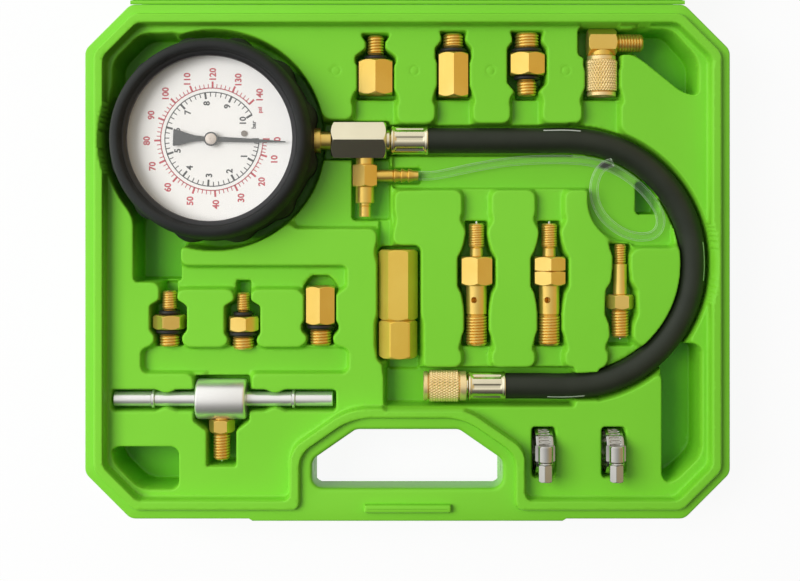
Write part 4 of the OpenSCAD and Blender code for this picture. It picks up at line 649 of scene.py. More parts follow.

# %% [markdown]
# The tray is drawn down from one warm sheet. Its deep pockets are painted a darker, richer green as
# painted shade, the shade that falls in them: height above the table, read from Object coordinates, shares
# out the deck green and the painted shade green.

# %% Painted shade in the deep pockets
# The first colour is painted shade: the green that the pockets turn to below the deck.
POCKET_SHADE_GREEN, DEEP_Z, DECK_Z = (0.12, 0.46, 0.012), 0.011, 0.031
TRAY_FACES = 180000
tray_green_painted_shade = worked_finish("tray_green_painted_shade", GREEN, **MOULDED)
nodes, links = tray_green_painted_shade.node_tree.nodes, tray_green_painted_shade.node_tree.links
height = nodes.new("ShaderNodeSeparateXYZ")
# drawn is the share of painted shade green: 1 at DEEP_Z and below, 0 at the deck.
drawn = nodes.new("ShaderNodeMapRange")
drawn.inputs["From Min"].default_value, drawn.inputs["From Max"].default_value = DEEP_Z, DECK_Z
drawn.inputs["To Min"].default_value, drawn.inputs["To Max"].default_value = 1.0, 0.0
links.new(nodes["Texture Coordinate"].outputs["Object"], height.inputs["Vector"])
links.new(height.outputs["Z"], drawn.inputs["Value"])
# The painted shade green is mixed into the tray's green by that share.
second_colour(tray_green_painted_shade, drawn.outputs["Result"], POCKET_SHADE_GREEN)
tray_mesh = height_mesh("case_tray", tray, lip_depth > -0.9, TRAY_FACES)
piece("case_tray", tray_mesh, "base", tray_green_painted_shade, ["case_base"], sharp=0, closed=False)
print("tray faces:", len(tray_mesh.polygons))

# %% [markdown]
# Outside the lip the case is simple: a flange, a wall that leans in, and a flat underside. That is one
# profile carried round the outline. A ring of the outline is drawn from its eight straight sides: each
# corner is an arc whose centre is where the two sides meet when both are moved in by the arc's radius.

# %% Outline rings
def plan_ring(normals, reach, grow, radius, arc=6):
    """Ring round a convex plan: sides at a reach along normals in degrees, corners as arcs."""
    angle = np.radians(normals)
    after = np.roll(angle, -1)
    after = np.where(after < angle, after + 2 * np.pi, after)
    inner = np.asarray(reach) + grow - radius
    sides = np.stack([np.cos(angle), np.sin(angle)], -1)
    pairs = np.stack([sides, np.roll(sides, -1, axis=0)], 1)
    centres = np.linalg.solve(pairs, np.stack([inner, np.roll(inner, -1)], -1)[..., None])[..., 0]
    turn = angle[:, None] + (after - angle)[:, None] * np.linspace(0, 1, arc)
    ring = centres[:, None] + radius * np.stack([np.cos(turn), np.sin(turn)], -1)
    return ring.reshape(-1, 2)


CASE_NORMALS = np.arange(-90, 270, 45)
corner_reach = (half_w + half_d - CORNER) / np.sqrt(2)
CASE_REACH = np.tile([half_d, corner_reach, half_w, corner_reach], 2)
SHOULDER_TURN = np.degrees(np.arctan2(slope_run, slope_rise))
GRIP_NORMALS = np.array([-90, 0, SHOULDER_TURN, 90, 180 - SHOULDER_TURN, 180])
grip_shoulder = (GRIP_W / 2 * slope_rise + (SHOULDER - half_d) * slope_run) / slope_len
GRIP_REACH = np.array([half_d - BAR_T, GRIP_W / 2, grip_shoulder, GRIP_BACK - half_d, grip_shoulder,
                       GRIP_W / 2])
BULGE_X = np.array([-84, -82, -50.4, -25, 25, 50.4, 82, 84.0])
BULGE, BAR_LOW = 1.2, PART - 18.0
HALF_PROFILE = [(7.0, PART), (0.9, PART), (0.35, PART - 0.15), (0.05, PART - 0.55), (0, PART - 1.2),
                (0, PART - 3.2), (0.25, PART - 3.8), (1.4, PART - 4.0), (1.5, PART - 4.3), (1.5, BAR_LOW),
                (1.5, BAR_LOW - 0.01), (1.7, 4.0), (2.0, 2.0), (2.9, 0.5), (4.5, 0.0)]


def case_rows(profile):
    """Rings of the outline, one for each (inset, z) of a profile; the handle's front bulges out."""
    rows = []
    for inset, z in profile:
        ring = plan_ring(CASE_NORMALS, CASE_REACH, -inset, max(6.5 - inset, 1.5))
        out = np.where(np.abs(BULGE_X) < 83, BULGE, 0) * (z >= BAR_LOW)
        front = np.stack([BULGE_X, -(half_d - inset) - out], -1)
        rows.append(np.column_stack([np.concatenate([ring, front]), np.full(len(ring) + len(front), z)]))
    return np.stack(rows)


outer_rows = case_rows(HALF_PROFILE)
cols = outer_rows.shape[1]
outer_faces = grid_faces(len(HALF_PROFILE), cols)[:, ::-1]
centres = outer_rows.reshape(-1, 3)[outer_faces].mean(1)
under_bar = (np.abs(centres[:, 0]) < GRIP_W / 2) & (centres[:, 1] < 0) & (centres[:, 2] < BAR_LOW)
outer_faces = outer_faces[~under_bar]
print("outline points:", cols, "faces:", len(outer_faces))

# %% [markdown]
# The hand hole needs its own ring: the flange runs in to it, turns over a soft edge and goes down. Below
# the bar the hole is open to the front, so its lower wall is an open run instead of a loop.

# %% Hand hole, bar and underside
HOLE_PROFILE = [(10.4, PART - 0.02), (2.3, PART - 0.02), (1.4, PART - 0.2), (0.7, PART - 0.65),
                (0.2, PART - 1.5),
                (0, PART - 2.6), (0, BAR_LOW + 1.2), (0.35, BAR_LOW + 0.35), (1.2, BAR_LOW)]
hole_rows = np.stack([
    np.column_stack([ring, np.full(len(ring), z)])
    for grow, z in HOLE_PROFILE
    for ring in [plan_ring(GRIP_NORMALS, GRIP_REACH, grow, 6.0 + grow if grow < 10 else 2.0)]])
hole_faces = grid_faces(len(HOLE_PROFILE), hole_rows.shape[1])

notch = np.array([
    (-GRIP_W / 2, 1.5 - half_d), (-GRIP_W / 2, SHOULDER - half_d), (-GRIP_BACK_W / 2, GRIP_BACK - half_d),
    (GRIP_BACK_W / 2, GRIP_BACK - half_d), (GRIP_W / 2, SHOULDER - half_d), (GRIP_W / 2, 1.5 - half_d)])
notch_rows = np.stack([np.column_stack([notch, np.full(6, z)]) for z in (BAR_LOW, 0.0)])
notch_faces = grid_faces(2, 6, closed=False)[:, ::-1]
bar_under = np.array([(-GRIP_W / 2, -half_d - BULGE, BAR_LOW), (GRIP_W / 2, -half_d - BULGE, BAR_LOW),
                      (GRIP_W / 2, BAR_T - half_d, BAR_LOW), (-GRIP_W / 2, BAR_T - half_d, BAR_LOW)])

foot = outer_rows[-1]
front_foot = foot[-len(BULGE_X):]
foot_ring = np.concatenate([foot[:-len(BULGE_X)], front_foot[:3], notch_rows[1], front_foot[5:]])
foot_face = np.arange(len(foot_ring))[None, ::-1]

RIB = (46.0, 4.3, 5.9)


def soft_bar(width, depth, low, high, x, y):
    """Low bar with rounded top edges: rings of a rounded rectangle that draw in as they rise."""
    rows = []
    for inset, share in [(0, 0), (0, 0.6), (0.15, 0.8), (0.5, 0.95), (1.0, 1.0), (depth / 2 - 0.05, 1.0)]:
        w, d = width / 2 - inset, depth / 2 - inset
        ring = plan_ring(np.array([-90, 0, 90, 180]), np.array([d, w, d, w]), 0, min(0.8, d * 0.9))
        rows.append(np.column_stack([ring + (x, y), np.full(len(ring), low + share * (high - low))]))
    return part_of(np.stack(rows))


rib = soft_bar(RIB[0], RIB[1], PART - 0.3, PART + 3.5, 0, RIB[2] - half_d)
shell_parts = [
    (outer_rows.reshape(-1, 3), outer_faces), (hole_rows.reshape(-1, 3), hole_faces),
    (notch_rows.reshape(-1, 3), notch_faces), (bar_under, np.arange(4)[None, ::-1]), (foot_ring, foot_face),
]
base_shell = piece("case_shell", shell_parts + [rib], "base", green_case, sharp=40.0,
                   closed=False)
print("shell faces:", len(base_shell.data.polygons))

# %% [markdown]
# The lid is the same shell turned over about the hinge. Inside it is hollow, with a step for the lip of the
# base to sit in and three low ribs on its floor. The hinge is a thin web of the same plastic.

# %% Lid and hinge
HINGE_Y, HINGE_Z = 137.1, 38.0
LID_FLOOR, LIP_STEP, LID_GRID, LID_FACES = PART - 24.0, 4.1, 0.9, 90000


def over_hinge(points):
    """The same points on the lid's side: y mirrored about the hinge line."""
    return points * (1, -1, 1) + (0, 2 * HINGE_Y, 0)


GRID_SAVED = (X, Y)
X, Y = np.meshgrid(np.arange(-half_w, half_w, LID_GRID), np.arange(-half_d, half_d, LID_GRID),
                   indexing="ij")
lid_depth = blend_min(case_edge(X, Y) - LIP_INSET, grip_edge(X, Y) - LEDGE, 5.0)
hollow = PART - LIP_STEP * ramp(lid_depth + 0.6)
hollow -= (PART - LIP_STEP - LID_FLOOR) * ramp((lid_depth - LIP_T) / 2.2)
for at in (-CASE_W / 4, 0, CASE_W / 4):
    rib_plan = slot(at - 3, -CASE_D / 5, at + 3, CASE_D * 0.3, 2)
    hollow = np.where(rib_plan < 0, np.maximum(hollow, LID_FLOOR + 2.5 * ramp(-rib_plan / 1.4)), hollow)
rib_groove = slot(-23.6, RIB[2] - half_d - 2.75, 23.6, RIB[2] - half_d + 2.75, 1.5)
hollow = np.minimum(hollow, PART - LIP_STEP * ramp(-rib_groove / 0.9))
hole_edge = blend_max(grip_edge(X, Y, 3.0), -(half_d - BAR_T) - Y, 3.0)
lid_mesh = height_mesh("lid_hollow", hollow, (case_edge(X, Y) > 1.2) & (hole_edge > 1.6), LID_FACES)
X, Y = GRID_SAVED
points = np.empty(len(lid_mesh.vertices) * 3)
lid_mesh.vertices.foreach_get("co", points)
lid_mesh.vertices.foreach_set("co", (over_hinge(points.reshape(-1, 3) / MM) * MM).ravel())
lid_mesh.flip_normals()
piece("lid_hollow", lid_mesh, "lid", green_case, ["case_lid"], sharp=0, closed=False)
lid_rows = case_rows([(1.6, PART - 0.02)] + HALF_PROFILE[1:])
lid_parts = [(lid_rows.reshape(-1, 3), outer_faces),
             (hole_rows[1:].reshape(-1, 3), hole_faces[:-hole_rows.shape[1]])]
lid_shell = piece("lid_shell", [(over_hinge(p), f[:, ::-1]) for p, f in lid_parts + shell_parts[2:]], "lid",
                  green_case, sharp=40.0, closed=False)

HINGE_LEN = CASE_W - 2 * CORNER
around = np.linspace(0, 2 * np.pi, 25)[:-1]
bead = np.stack([HINGE_Y - 0.05 + 1.05 * np.cos(around), HINGE_Z - 0.55 + 0.75 * np.sin(around)], -1)
ends = np.array([-HINGE_LEN / 2, -HINGE_LEN / 2, HINGE_LEN / 2, HINGE_LEN / 2])
web = np.concatenate([np.tile(ends[:, None, None], (1, 24, 1)), np.tile(bead, (4, 1, 1))], -1)
web[[0, 3], :, 1:] = bead.mean(0)
piece("hinge_bead", [part_of(web)], "base", green_case, ["hinge_web"])
print("lid faces:", len(lid_mesh.polygons) + len(lid_shell.data.polygons))

# %% [markdown]
# The fittings are all turned from bar, so one idea makes them: a grid of rings along an axis, where the
# radius is a function of the angle and of the way along. A plain stretch has one radius; a hexagon's radius
# grows towards its corners until the turned cone at its end cuts it off; a thread's radius follows a ridge
# that climbs one pitch in each turn; a knurl is two sets of crossed grooves. Stretches are stacked end to
# end, and the bore is more rings inside.

# %% Stretches of a turned piece
def wave(t):
    """Triangle wave: 0 at whole numbers, 1 half way between them."""
    return 1 - np.abs(2 * (t % 1) - 1)


def around_bar(columns):
    """Angles of the columns of a turned grid."""
    return np.linspace(0, 2 * np.pi, columns, endpoint=False)[None]


def plain(length, d, columns, edge=0.3):
    """Cylinder whose two edges are broken by small cones."""
    s = np.array([0, edge, length - edge, length])
    r = np.array([d / 2 - edge, d / 2, d / 2, d / 2 - edge])
    return s, np.repeat(r[:, None], columns, 1)


def hexagon(length, flats, columns, corner=90.0):
    """Radius = half the flats / cos(angle from the nearest face), cut off by a cone at each end."""
    rise = np.array([0, 0.12, 0.25, 0.4, 0.55, 0.7, 0.85, 1.0, 1.2, 1.5])
    s = np.concatenate([rise, np.linspace(2.0, length - 2.0, 8), length - rise[::-1]])
    off_face = np.radians((np.degrees(around_bar(columns)) - corner) % 60 - 30)
    cone = flats / 2 - 0.15 + 1.3 * np.minimum(s, length - s)
    return s, np.minimum(flats / 2 / np.cos(off_face), cone[:, None])


def thread(length, d, columns):
    """Radius = half of d less a V cut by the top of a triangle wave of (way along / pitch - turn), so that
    flat crests stand between the cuts; both ends start on a cone."""
    pitch = 1.55 if d > 8.7 else 1.3
    s = np.linspace(0, length, int(length / pitch * 14) + 1)
    groove = wave(s[:, None] / pitch - around_bar(columns) / (2 * np.pi))
    cone = d / 2 - 0.62 * pitch + 0.9 * np.minimum(s, length - s)
    return s, np.minimum(d / 2 - 0.5 * pitch * np.clip(2.2 * groove - 1.2, 0, 1), cone[:, None])


def knurl(length, d, columns, grooves=34, lead=2.7, depth=0.6):
    """Radius = half of d less the deeper of two crossed sets of grooves; small pyramids stand between."""
    s = np.linspace(0, length, int(length / lead * 9) + 1)
    turn, along = around_bar(columns) / (2 * np.pi) * grooves, s[:, None] / lead
    pyramid = np.minimum(wave(turn + along), wave(turn - along))
    cone = d / 2 - 0.4 + 0.9 * np.minimum(s, length - s)
    return s, np.minimum(d / 2 - depth * (1 - np.clip(1.15 * pyramid, 0, 1)), cone[:, None])


def tipped_hexagon(corner):
    """Hexagon stretch rolled a little in its pocket: a corner lies at an angle in degrees."""
    return lambda length, flats, columns: hexagon(length, flats, columns, corner)


def flat_hexagon(length, flats, columns):
    """Hexagon with a face, not a corner, on top."""
    return hexagon(length, flats, columns, 0.0)


STRETCH = {"plain": plain, "hex": hexagon, "flat": flat_hexagon, "thread": thread, "knurl": knurl,
           "hex_left": tipped_hexagon(104.0), "hex_right": tipped_hexagon(75.0),
           "nut_hex": tipped_hexagon(-6.0)}


def bore_rows(d, depth, columns):
    """Rings of a blind bore from its pointed bottom out to a broken edge at the face."""
    s = np.array([depth + d / 4, depth, 0.4, 0.0])
    return s, np.repeat(np.array([0, d / 2, d / 2, d / 2 + 0.4])[:, None], columns, 1)


AXES = {"back": ((0, 1, 0), (1, 0, 0)), "front": ((0, -1, 0), (1, 0, 0)), "right": ((1, 0, 0), (0, 1, 0)),
        "up": ((0, 0, 1), (1, 0, 0))}


def set_rings(at, way, s, r):
    """Grid of rings: point = at + way s + side r cos(angle) + other side r sin(angle)."""
    axis, side = (np.array(v, float) for v in AXES[way])
    other = np.array((0, 0, 1.0)) if way != "up" else np.array((0, 1.0, 0))
    angle = around_bar(r.shape[1])[..., None]
    r, s = r[..., None], s[:, None, None]
    return at + axis * s + r * (side * np.cos(angle) + other * np.sin(angle))


def turned(at, way, stretches, columns=96, bores=((0, 0), (0, 0)), reach=()):
    """One closed (points, faces) part from stretches (kind, length, size) set end to end along a way."""
    rows_s, rows_r, start = [], [], 0.0
    for kind, length, size in stretches:
        s, r = STRETCH[kind](length, size, columns)
        rows_s.append(s + start)
        rows_r.append(r)
        start += length
    for end, (d, depth) in enumerate(bores):
        s, r = bore_rows(d, depth, columns) if d else (np.zeros(1), np.zeros((1, columns)))
        if end == 0:
            rows_s.insert(0, s)
            rows_r.insert(0, r)
        else:
            rows_s.append(start - s[::-1])
            rows_r.append(r[::-1])
    s, r = np.concatenate(rows_s), np.concatenate(rows_r)
    for change in reach:
        r = change(s, r)
    grid = set_rings(np.array(at, float), way, s, r)
    return part_of(grid)


def ring_of(at, way, middle, section):
    """O-ring: a circle of the section's radius carried round a circle of the middle radius."""
    v = np.linspace(0, 2 * np.pi, 21)
    grid = set_rings(np.array(at, float), way, section * np.sin(v),
                     np.repeat((middle + section * np.cos(v))[:, None], 72, 1))
    return part_of(grid)


AXIS_Z, STEM_Y, COUPLER_Y, BLEED_X = 28.0, 64.5, -67.0, -22.8
print("stretches:", ", ".join(STRETCH))

# %% [markdown]
# The six plain adapters lie in two rows. Each is a list of stretches from its back end, and every short
# neck carries a rubber O-ring, which is a torus.

# %% Adapters with O-rings
RING_SECTION = 1.2
ADAPTERS = [
    ("top_adapter_1", "top_ring_1", -17.0, 120.5,
     [("thread", 10.5, 8.9), ("ring", 2.6, 7.5), ("hex", 18.5, 17.8)]),
    ("top_adapter_2", "top_ring_2", 24.5, 121.5,
     [("thread", 7.6, 10.9), ("ring", 2.6, 9.5), ("hex", 23.5, 15.6)]),
    ("top_adapter_3", "top_rings_3", 64.0, 122.0,
     [("thread", 8.2, 12.8), ("ring", 2.6, 11.4), ("hex", 12.0, 18.0),
      ("ring", 2.6, 9.0), ("thread", 8.2, 10.4)]),
    ("left_adapter_1", "left_rings_1", -127.5, -16.0,
     [("thread", 10.2, 7.9), ("ring", 2.6, 6.5), ("hex_left", 7.6, 15.7),
      ("ring", 2.6, 9.2), ("thread", 6.7, 10.6)]),
    ("left_adapter_2", "left_rings_2", -88.0, -17.0,
     [("thread", 10.0, 7.0), ("ring", 2.6, 5.6), ("hex_right", 8.0, 15.0),
      ("ring", 2.6, 10.0), ("thread", 7.0, 11.4)]),
    ("left_adapter_3", "left_ring_3", -46.5, -13.5,
     [("hex", 20.3, 15.1), ("ring", 2.6, 10.0), ("thread", 8.7, 11.4)]),
]
for name, ring_name, x, y, stretches in ADAPTERS:
    ends = np.cumsum([0] + [length for _, length, _ in stretches])
    bores = [(0.45 * size if kind == "thread" else 0.62 * size, 8.0)
             for kind, _, size in (stretches[0], stretches[-1])]
    solid = [("plain" if kind == "ring" else kind, length, size) for kind, length, size in stretches]
    piece(name + "_brass", [turned((x, y, AXIS_Z), "front", solid, bores=bores)], name, brass_y,
          [name])
    rings = [ring_of((x, y - start - length / 2, AXIS_Z), "front", size / 2 + 0.1 + RING_SECTION,
                     RING_SECTION)
             for (kind, length, size), start in zip(stretches, ends) if kind == "ring"]
    piece(ring_name + "_rubber", rings, name, ring_rubber, [ring_name], sharp=0)
print("adapters:", len(ADAPTERS))

# %% [markdown]
# The two large valve adapters have a cross hole in the barrel. It is drilled here as it would be at the
# bench: where a point of the barrel lies within the drill's radius of the hole's axis, its radius drops to
# the bottom of the hole.

# %% Valve adapters and the coupling
def drilled(at_s, turn, d, depth):
    """Change of a turned grid: radius drops by depth inside a circle of diameter d round (at_s, turn)."""
    def change(s, r):
        gap = (around_bar(r.shape[1]) - turn + np.pi) % (2 * np.pi) - np.pi
        away = np.hypot(s[:, None] - at_s, gap * r)
        near = np.abs(s[:, None] - at_s) < d
        return np.where(near, r - depth * ramp((d / 2 + 0.1 - away) / 0.3), r)
    return change


def fine_barrel(length, d, columns):
    """Plain stretch with close rings, so that a drilled hole in it comes out round."""
    s = np.concatenate([[0, 0.3], np.linspace(0.5, length - 0.5, int(length / 0.2)),
                        [length - 0.3, length]])
    r = np.minimum(d / 2, d / 2 - 0.3 + np.minimum(s, length - s))
    return s, np.repeat(r[:, None], columns, 1)


def grooved_hexagon(length, flats, columns):
    """Hexagon with a narrow turned V groove round its middle."""
    s, r = hexagon(length, flats, columns)
    fine = np.unique(np.concatenate([s, length / 2 + np.linspace(-0.6, 0.6, 9)]))
    rows = np.abs(fine[:, None] - s[None]).argmin(1)
    return fine, np.minimum(r[rows], flats / 2 - 0.6 + np.abs(fine - length / 2)[:, None] * 4.0)


STRETCH.update(barrel=fine_barrel, grooved=grooved_hexagon)
HOLE_TURN, HOLE_AT, HOLE_D, HOLE_DEPTH = np.radians(107.0), 13.0 + 4.7 + 15.2 + 7.8, 3.0, 5.0
for index, (x, middle) in enumerate([(37.0, "hex"), (76.0, "grooved")], start=1):
    name = f"valve_adapter_{index}"
    solid = [("thread", 13.0, 8.5), ("plain", 4.7, 7.0), (middle, 15.2, 16.2), ("barrel", 15.6, 11.1),
             ("thread", 16.6, 11.4)]
    hole = drilled(HOLE_AT, HOLE_TURN, HOLE_D, HOLE_DEPTH)
    piece(name + "_brass", [turned((x, 20.0, AXIS_Z), "front", solid, columns=192,
                                   bores=((3.6, 12.5), (6.0, 9.0)),
                                   reach=[hole])], name, brass_y, [name])
slim = [("thread", 10.5, 6.4), ("plain", 16.5, 7.4), ("flat", 7.7, 12.8), ("thread", 15.3, 9.2)]
piece("valve_adapter_3_brass", [turned((114.0, 9.0, AXIS_Z), "front", slim,
                                       bores=((2.6, 6.0), (4.4, 12.5)))],
      "valve_adapter_3", brass_y, ["valve_adapter_3"])

COUPLING_X, COUPLING_FLATS = -5.0, 18.2
coupling = turned((COUPLING_X, 6.0, AXIS_Z), "front", [("flat", 37.4, COUPLING_FLATS)],
                  bores=((13.0, 9.0), (0, 0)))
coupling_nut = turned((COUPLING_X, -31.7, AXIS_Z), "front", [("nut_hex", 20.1, COUPLING_FLATS)],
                      bores=((0, 0), (11.0, 10.0)))
piece("coupling_body_brass", [coupling], "coupling", dull_brass, ["coupling_body"])
piece("coupling_nut_brass", [coupling_nut], "coupling_nut", dull_brass, ["coupling_nut"])


def pin_of(at, way, d, length):
    """Valve pin: a rod with a domed tip, its radius at the tip that of a ball."""
    dome = np.linspace(0, np.pi / 2, 8)
    s = np.concatenate([[0, 0], length - d / 2 + d / 2 * np.sin(dome)])
    r = np.concatenate([[0, d / 2], d / 2 * np.cos(dome)])
    grid = set_rings(np.array(at, float), way, s, np.repeat(r[:, None], 24, 1))
    return part_of(grid)


PIN_D, PIN_LEN = 1.6, 11.5
PINS = [("valve_pin_1", (37.0, 10.0), "back"), ("valve_pin_2", (76.0, 10.0), "back"),
        ("valve_pin_3", (114.0, -31.0), "front"), ("tee_pin", (-99.5, -96.25), "front")]
for name, (x, y), way in PINS:
    piece(name + "_steel", [pin_of((x, y, AXIS_Z), way, PIN_D, PIN_LEN)], name, pin_steel,
          [name])
print("pins:", len(PINS))

# %% [markdown]
# The elbow is a hexagon bar laid crosswise with a threaded port on its end; a round boss below it carries
# the knurled swivel nut. The nut at the hose's end is the same kind of piece. A knurl needs far more
# columns than a plain turned piece, or its grooves come out ragged.

# %% Elbow and swivel nuts
KNURL_COLUMNS = 240
elbow_bar = turned((96.4, 116.75, AXIS_Z), "right", [("flat", 15.2, 13.4), ("thread", 14.3, 9.6)],
                   bores=((0, 0), (4.6, 8.0)))
elbow_boss = turned((104.0, 116.0, AXIS_Z), "front", [("plain", 6.2, 12.8), ("plain", 5.4, 9.0)])
piece("elbow_body_brass", [elbow_bar, elbow_boss], "elbow", brass_x, ["elbow_body"])
elbow_nut = turned((104.0, 109.7, AXIS_Z), "front",
                   [("plain", 2.4, 15.4), ("knurl", 16.4, 17.0), ("plain", 0.6, 14.8),
                    ("plain", 2.2, 15.6)], KNURL_COLUMNS, ((9.8, 5.6), (12.0, 9.0)))
piece("elbow_nut_brass", [elbow_nut], "elbow_nut", cut_brass, ["elbow_nut"])
coupler_nut = turned((8.6, COUPLER_Y, AXIS_Z), "right",
                     [("plain", 2.3, 15.6), ("plain", 0.7, 14.2), ("knurl", 15.5, 17.0),
                      ("plain", 0.7, 14.8), ("plain", 3.6, 15.8)],
                     KNURL_COLUMNS, ((12.5, 10.0), (9.8, 4.5)))
coupler_nut_piece = piece("coupler_nut_brass", [coupler_nut], "coupler_nut", cut_brass,
                          ["coupler_nut"])
print("nut faces:", len(coupler_nut_piece.data.polygons))

# %% [markdown]
# A ferrule is a thin sleeve pressed on to the hose. The press leaves eight long dents and a raised bead at
# each end, so its radius is a bead profile less a dent that depends on the angle. The nickel-plated block
# between gauge and hose is a hexagon bar with one corner up, and the bleed valve hangs from it.

# %% Ferrules, block and bleed valve
def ferrule(length, d, columns):
    """Radius = half of d, more at the end beads, less eight dents whose ends run out smoothly."""
    s = np.concatenate([np.linspace(0, 3.4, 18), np.linspace(3.8, length - 3.8, 20),
                        length - np.linspace(0, 3.4, 18)[::-1]])
    from_end = np.minimum(s, length - s)
    bead = 0.4 * np.sin(np.pi * np.clip(from_end / 1.9, 0, 1))
    dent = np.clip(1.5 * np.cos(8 * around_bar(columns) + 0.6) - 0.1, 0, 1)
    fade = ramp((from_end - 2.0) / 1.2)
    edge = np.minimum(d / 2, d / 2 - 0.5 + 1.2 * from_end)
    return s, (edge + bead)[:, None] - 0.55 * dent * fade[:, None]


def barbs(length, d, columns, count=3, tip=2.2):
    """Cones that grow away from the tip and drop back sharply, then a short plain tip."""
    step = (length - tip) / count
    s = np.concatenate([k * step + np.array([0.0, 0.5, 0.9, 1.3, step - 0.05]) for k in range(count)]
                       + [[length - tip, length]])
    r = np.concatenate([np.tile([d / 2 - 0.9, d / 2, d / 2 + 0.15, d / 2, d / 2 - 0.9], count),
                        [d / 2 - 0.9, d / 2 - 1.1]])
    return s, np.repeat(r[:, None], columns, 1)


STRETCH.update(ferrule=ferrule, barbs=barbs)
piece("block_ferrule_nickel", [turned((-8.9, STEM_Y, AXIS_Z), "right", [("ferrule", 20.1, 14.8)], 128)],
      "gauge_set", nickel, ["block_ferrule"])
coupler_ferrule = piece("coupler_ferrule_nickel",
                        [turned((32.3, COUPLER_Y, AXIS_Z), "right", [("ferrule", 20.1, 14.8)], 128)],
                        "gauge_set", nickel, ["coupler_ferrule"])
stem = [("plain", 6.6, 9.7), ("plain", 0.5, 9.0), ("plain", 1.9, 11.5), ("plain", 0.6, 8.8),
        ("plain", 19.0, 8.0)]
piece("hose_stem_nickel", [turned((-18.4, STEM_Y, AXIS_Z), "right", stem)], "gauge_set", nickel,
      ["hose_stem"])
piece("manifold_block_nickel", [turned((-40.7, STEM_Y, AXIS_Z), "right", [("hex", 29.3, 19.0)])],
      "gauge_set", nickel, ["manifold_block"])
bleed_stem = turned((BLEED_X, 61.3, AXIS_Z), "front",
                    [("plain", 9.7, 9.5), ("hex", 11.8, 12.9), ("plain", 8.9, 10.0)],
                    bores=((0, 0), (7.0, 10.5)))
bleed_barb = turned((BLEED_X, 45.7, AXIS_Z), "right", [("plain", 15.2, 6.3), ("barbs", 13.4, 7.2)])
piece("bleed_body_brass", [bleed_stem, bleed_barb], "gauge_set", brass_y, ["bleed_body"])
piece("bleed_button_brass", [turned((BLEED_X, 38.4, AXIS_Z), "front",
                                    [("plain", 9.0, 6.6), ("plain", 5.9, 6.4)])], "bleed_button",
      brass_y, ["bleed_button"])

# %% [markdown]
# The tee is turned aluminium: a drum with a beaded tube out of each side, so that a rubber hose can't slip
# off. Its port is a small brass valve with a flat-topped hexagon.

# %% Tee
def drum(length, d, columns):
    """Cylinder with well-rounded edges: near each end the radius follows a quarter circle."""
    bend, turn = 1.6, np.linspace(0, np.pi / 2, 8)
    s = np.concatenate([bend * (1 - np.cos(turn)), length - bend * (1 - np.cos(turn[::-1]))])
    r = d / 2 - bend + bend * np.concatenate([np.sin(turn), np.sin(turn[::-1])])
    return s, np.repeat(r[:, None], columns, 1)


STRETCH["drum"] = drum
tee_run = [("plain", 20.0, 7.8), ("drum", 2.0, 9.6), ("plain", 22.1, 7.8), ("drum", 26.8, 21.5),
           ("plain", 24.1, 7.8), ("drum", 2.0, 9.6), ("plain", 20.0, 7.8)]
piece("tee_body_alloy", [turned((-157.0, -74.0, AXIS_Z), "right", tee_run,
                                bores=((5.0, 25.0), (5.0, 25.0)))], "tee", tee_metal,
      ["tee_body"])
tee_port = [("plain", 7.45, 9.0), ("flat", 7.0, 12.0), ("thread", 14.5, 9.0)]
piece("tee_port_brass", [turned((-99.5, -77.3, AXIS_Z), "front", tee_port, bores=((0, 0), (4.4, 12.5)))],
      "tee", brass_y, ["tee_port"])
print("tee length:", sum(length for _, length, _ in tee_run), "mm")

# %% [markdown]
# A worm clamp is a steel band bent to a loop, a pressed housing over its ends and a screw whose thread runs
# in slots across the band. The loop is a strip carried round a circle; where a slot crosses it, the outer
# face drops.

# %% Hose clamps
CLAMP_Y, BAND_R, BAND_T, BAND_HALF = -101.8, 12.0, 0.8, 4.5
SLOT_TURNS = 36


def band_strip(x):
    """Band: centre + (x across, r cos, r sin); outer r drops by 0.5 in slanted slots, inner r stays."""
    loop = np.linspace(0, 2 * np.pi, 361)[:-1][:, None]
    across = np.linspace(-BAND_HALF, BAND_HALF, 19)[None]
    slot_at = wave(loop / (2 * np.pi) * SLOT_TURNS + across * 0.03)
    cut = ramp((slot_at - 0.45) / 0.2) * ramp((3.0 - np.abs(across)) / 0.4)
    outer = BAND_R - 0.12 * (np.abs(across) > BAND_HALF - 0.01) - 0.5 * cut
    inner = np.full_like(outer, BAND_R - BAND_T)
    r = np.concatenate([outer, inner[:, ::-1]], 1)
    side = np.broadcast_to(np.concatenate([across, across[:, ::-1]], 1), r.shape)
    grid = np.stack([x + side, CLAMP_Y + r * np.cos(loop), AXIS_Z + r * np.sin(loop)], -1)
    grid = np.concatenate([grid, grid[:1]])
    return part_of(grid)


def screw_housing(x):
    """Housing: an arch with straight sides along the screw, drawn in a little at both ends."""
    turn = np.linspace(0, np.pi, 25)
    arch = np.stack([3.9 * np.cos(turn), 42.2 + 3.0 * np.sin(turn)], -1)
    plan = np.concatenate([[(5.2, 39.05), (5.2, 39.9), (4.1, 40.1)], arch,
                           [(-4.1, 40.1), (-5.2, 39.9), (-5.2, 39.05)]])
    ends = np.array([-96.8, -96.8, -97.2, -104.8, -105.2, -105.2])
    scale = np.array([0.0, 0.93, 1.0, 1.0, 0.93, 0.0])
    middle = np.array([0, 41.2])
    rows = middle + (plan - middle)[None] * scale[:, None, None]
    grid = np.stack([x + rows[..., 0], np.broadcast_to(ends[:, None], rows.shape[:2]), rows[..., 1]], -1)
    return part_of(grid)


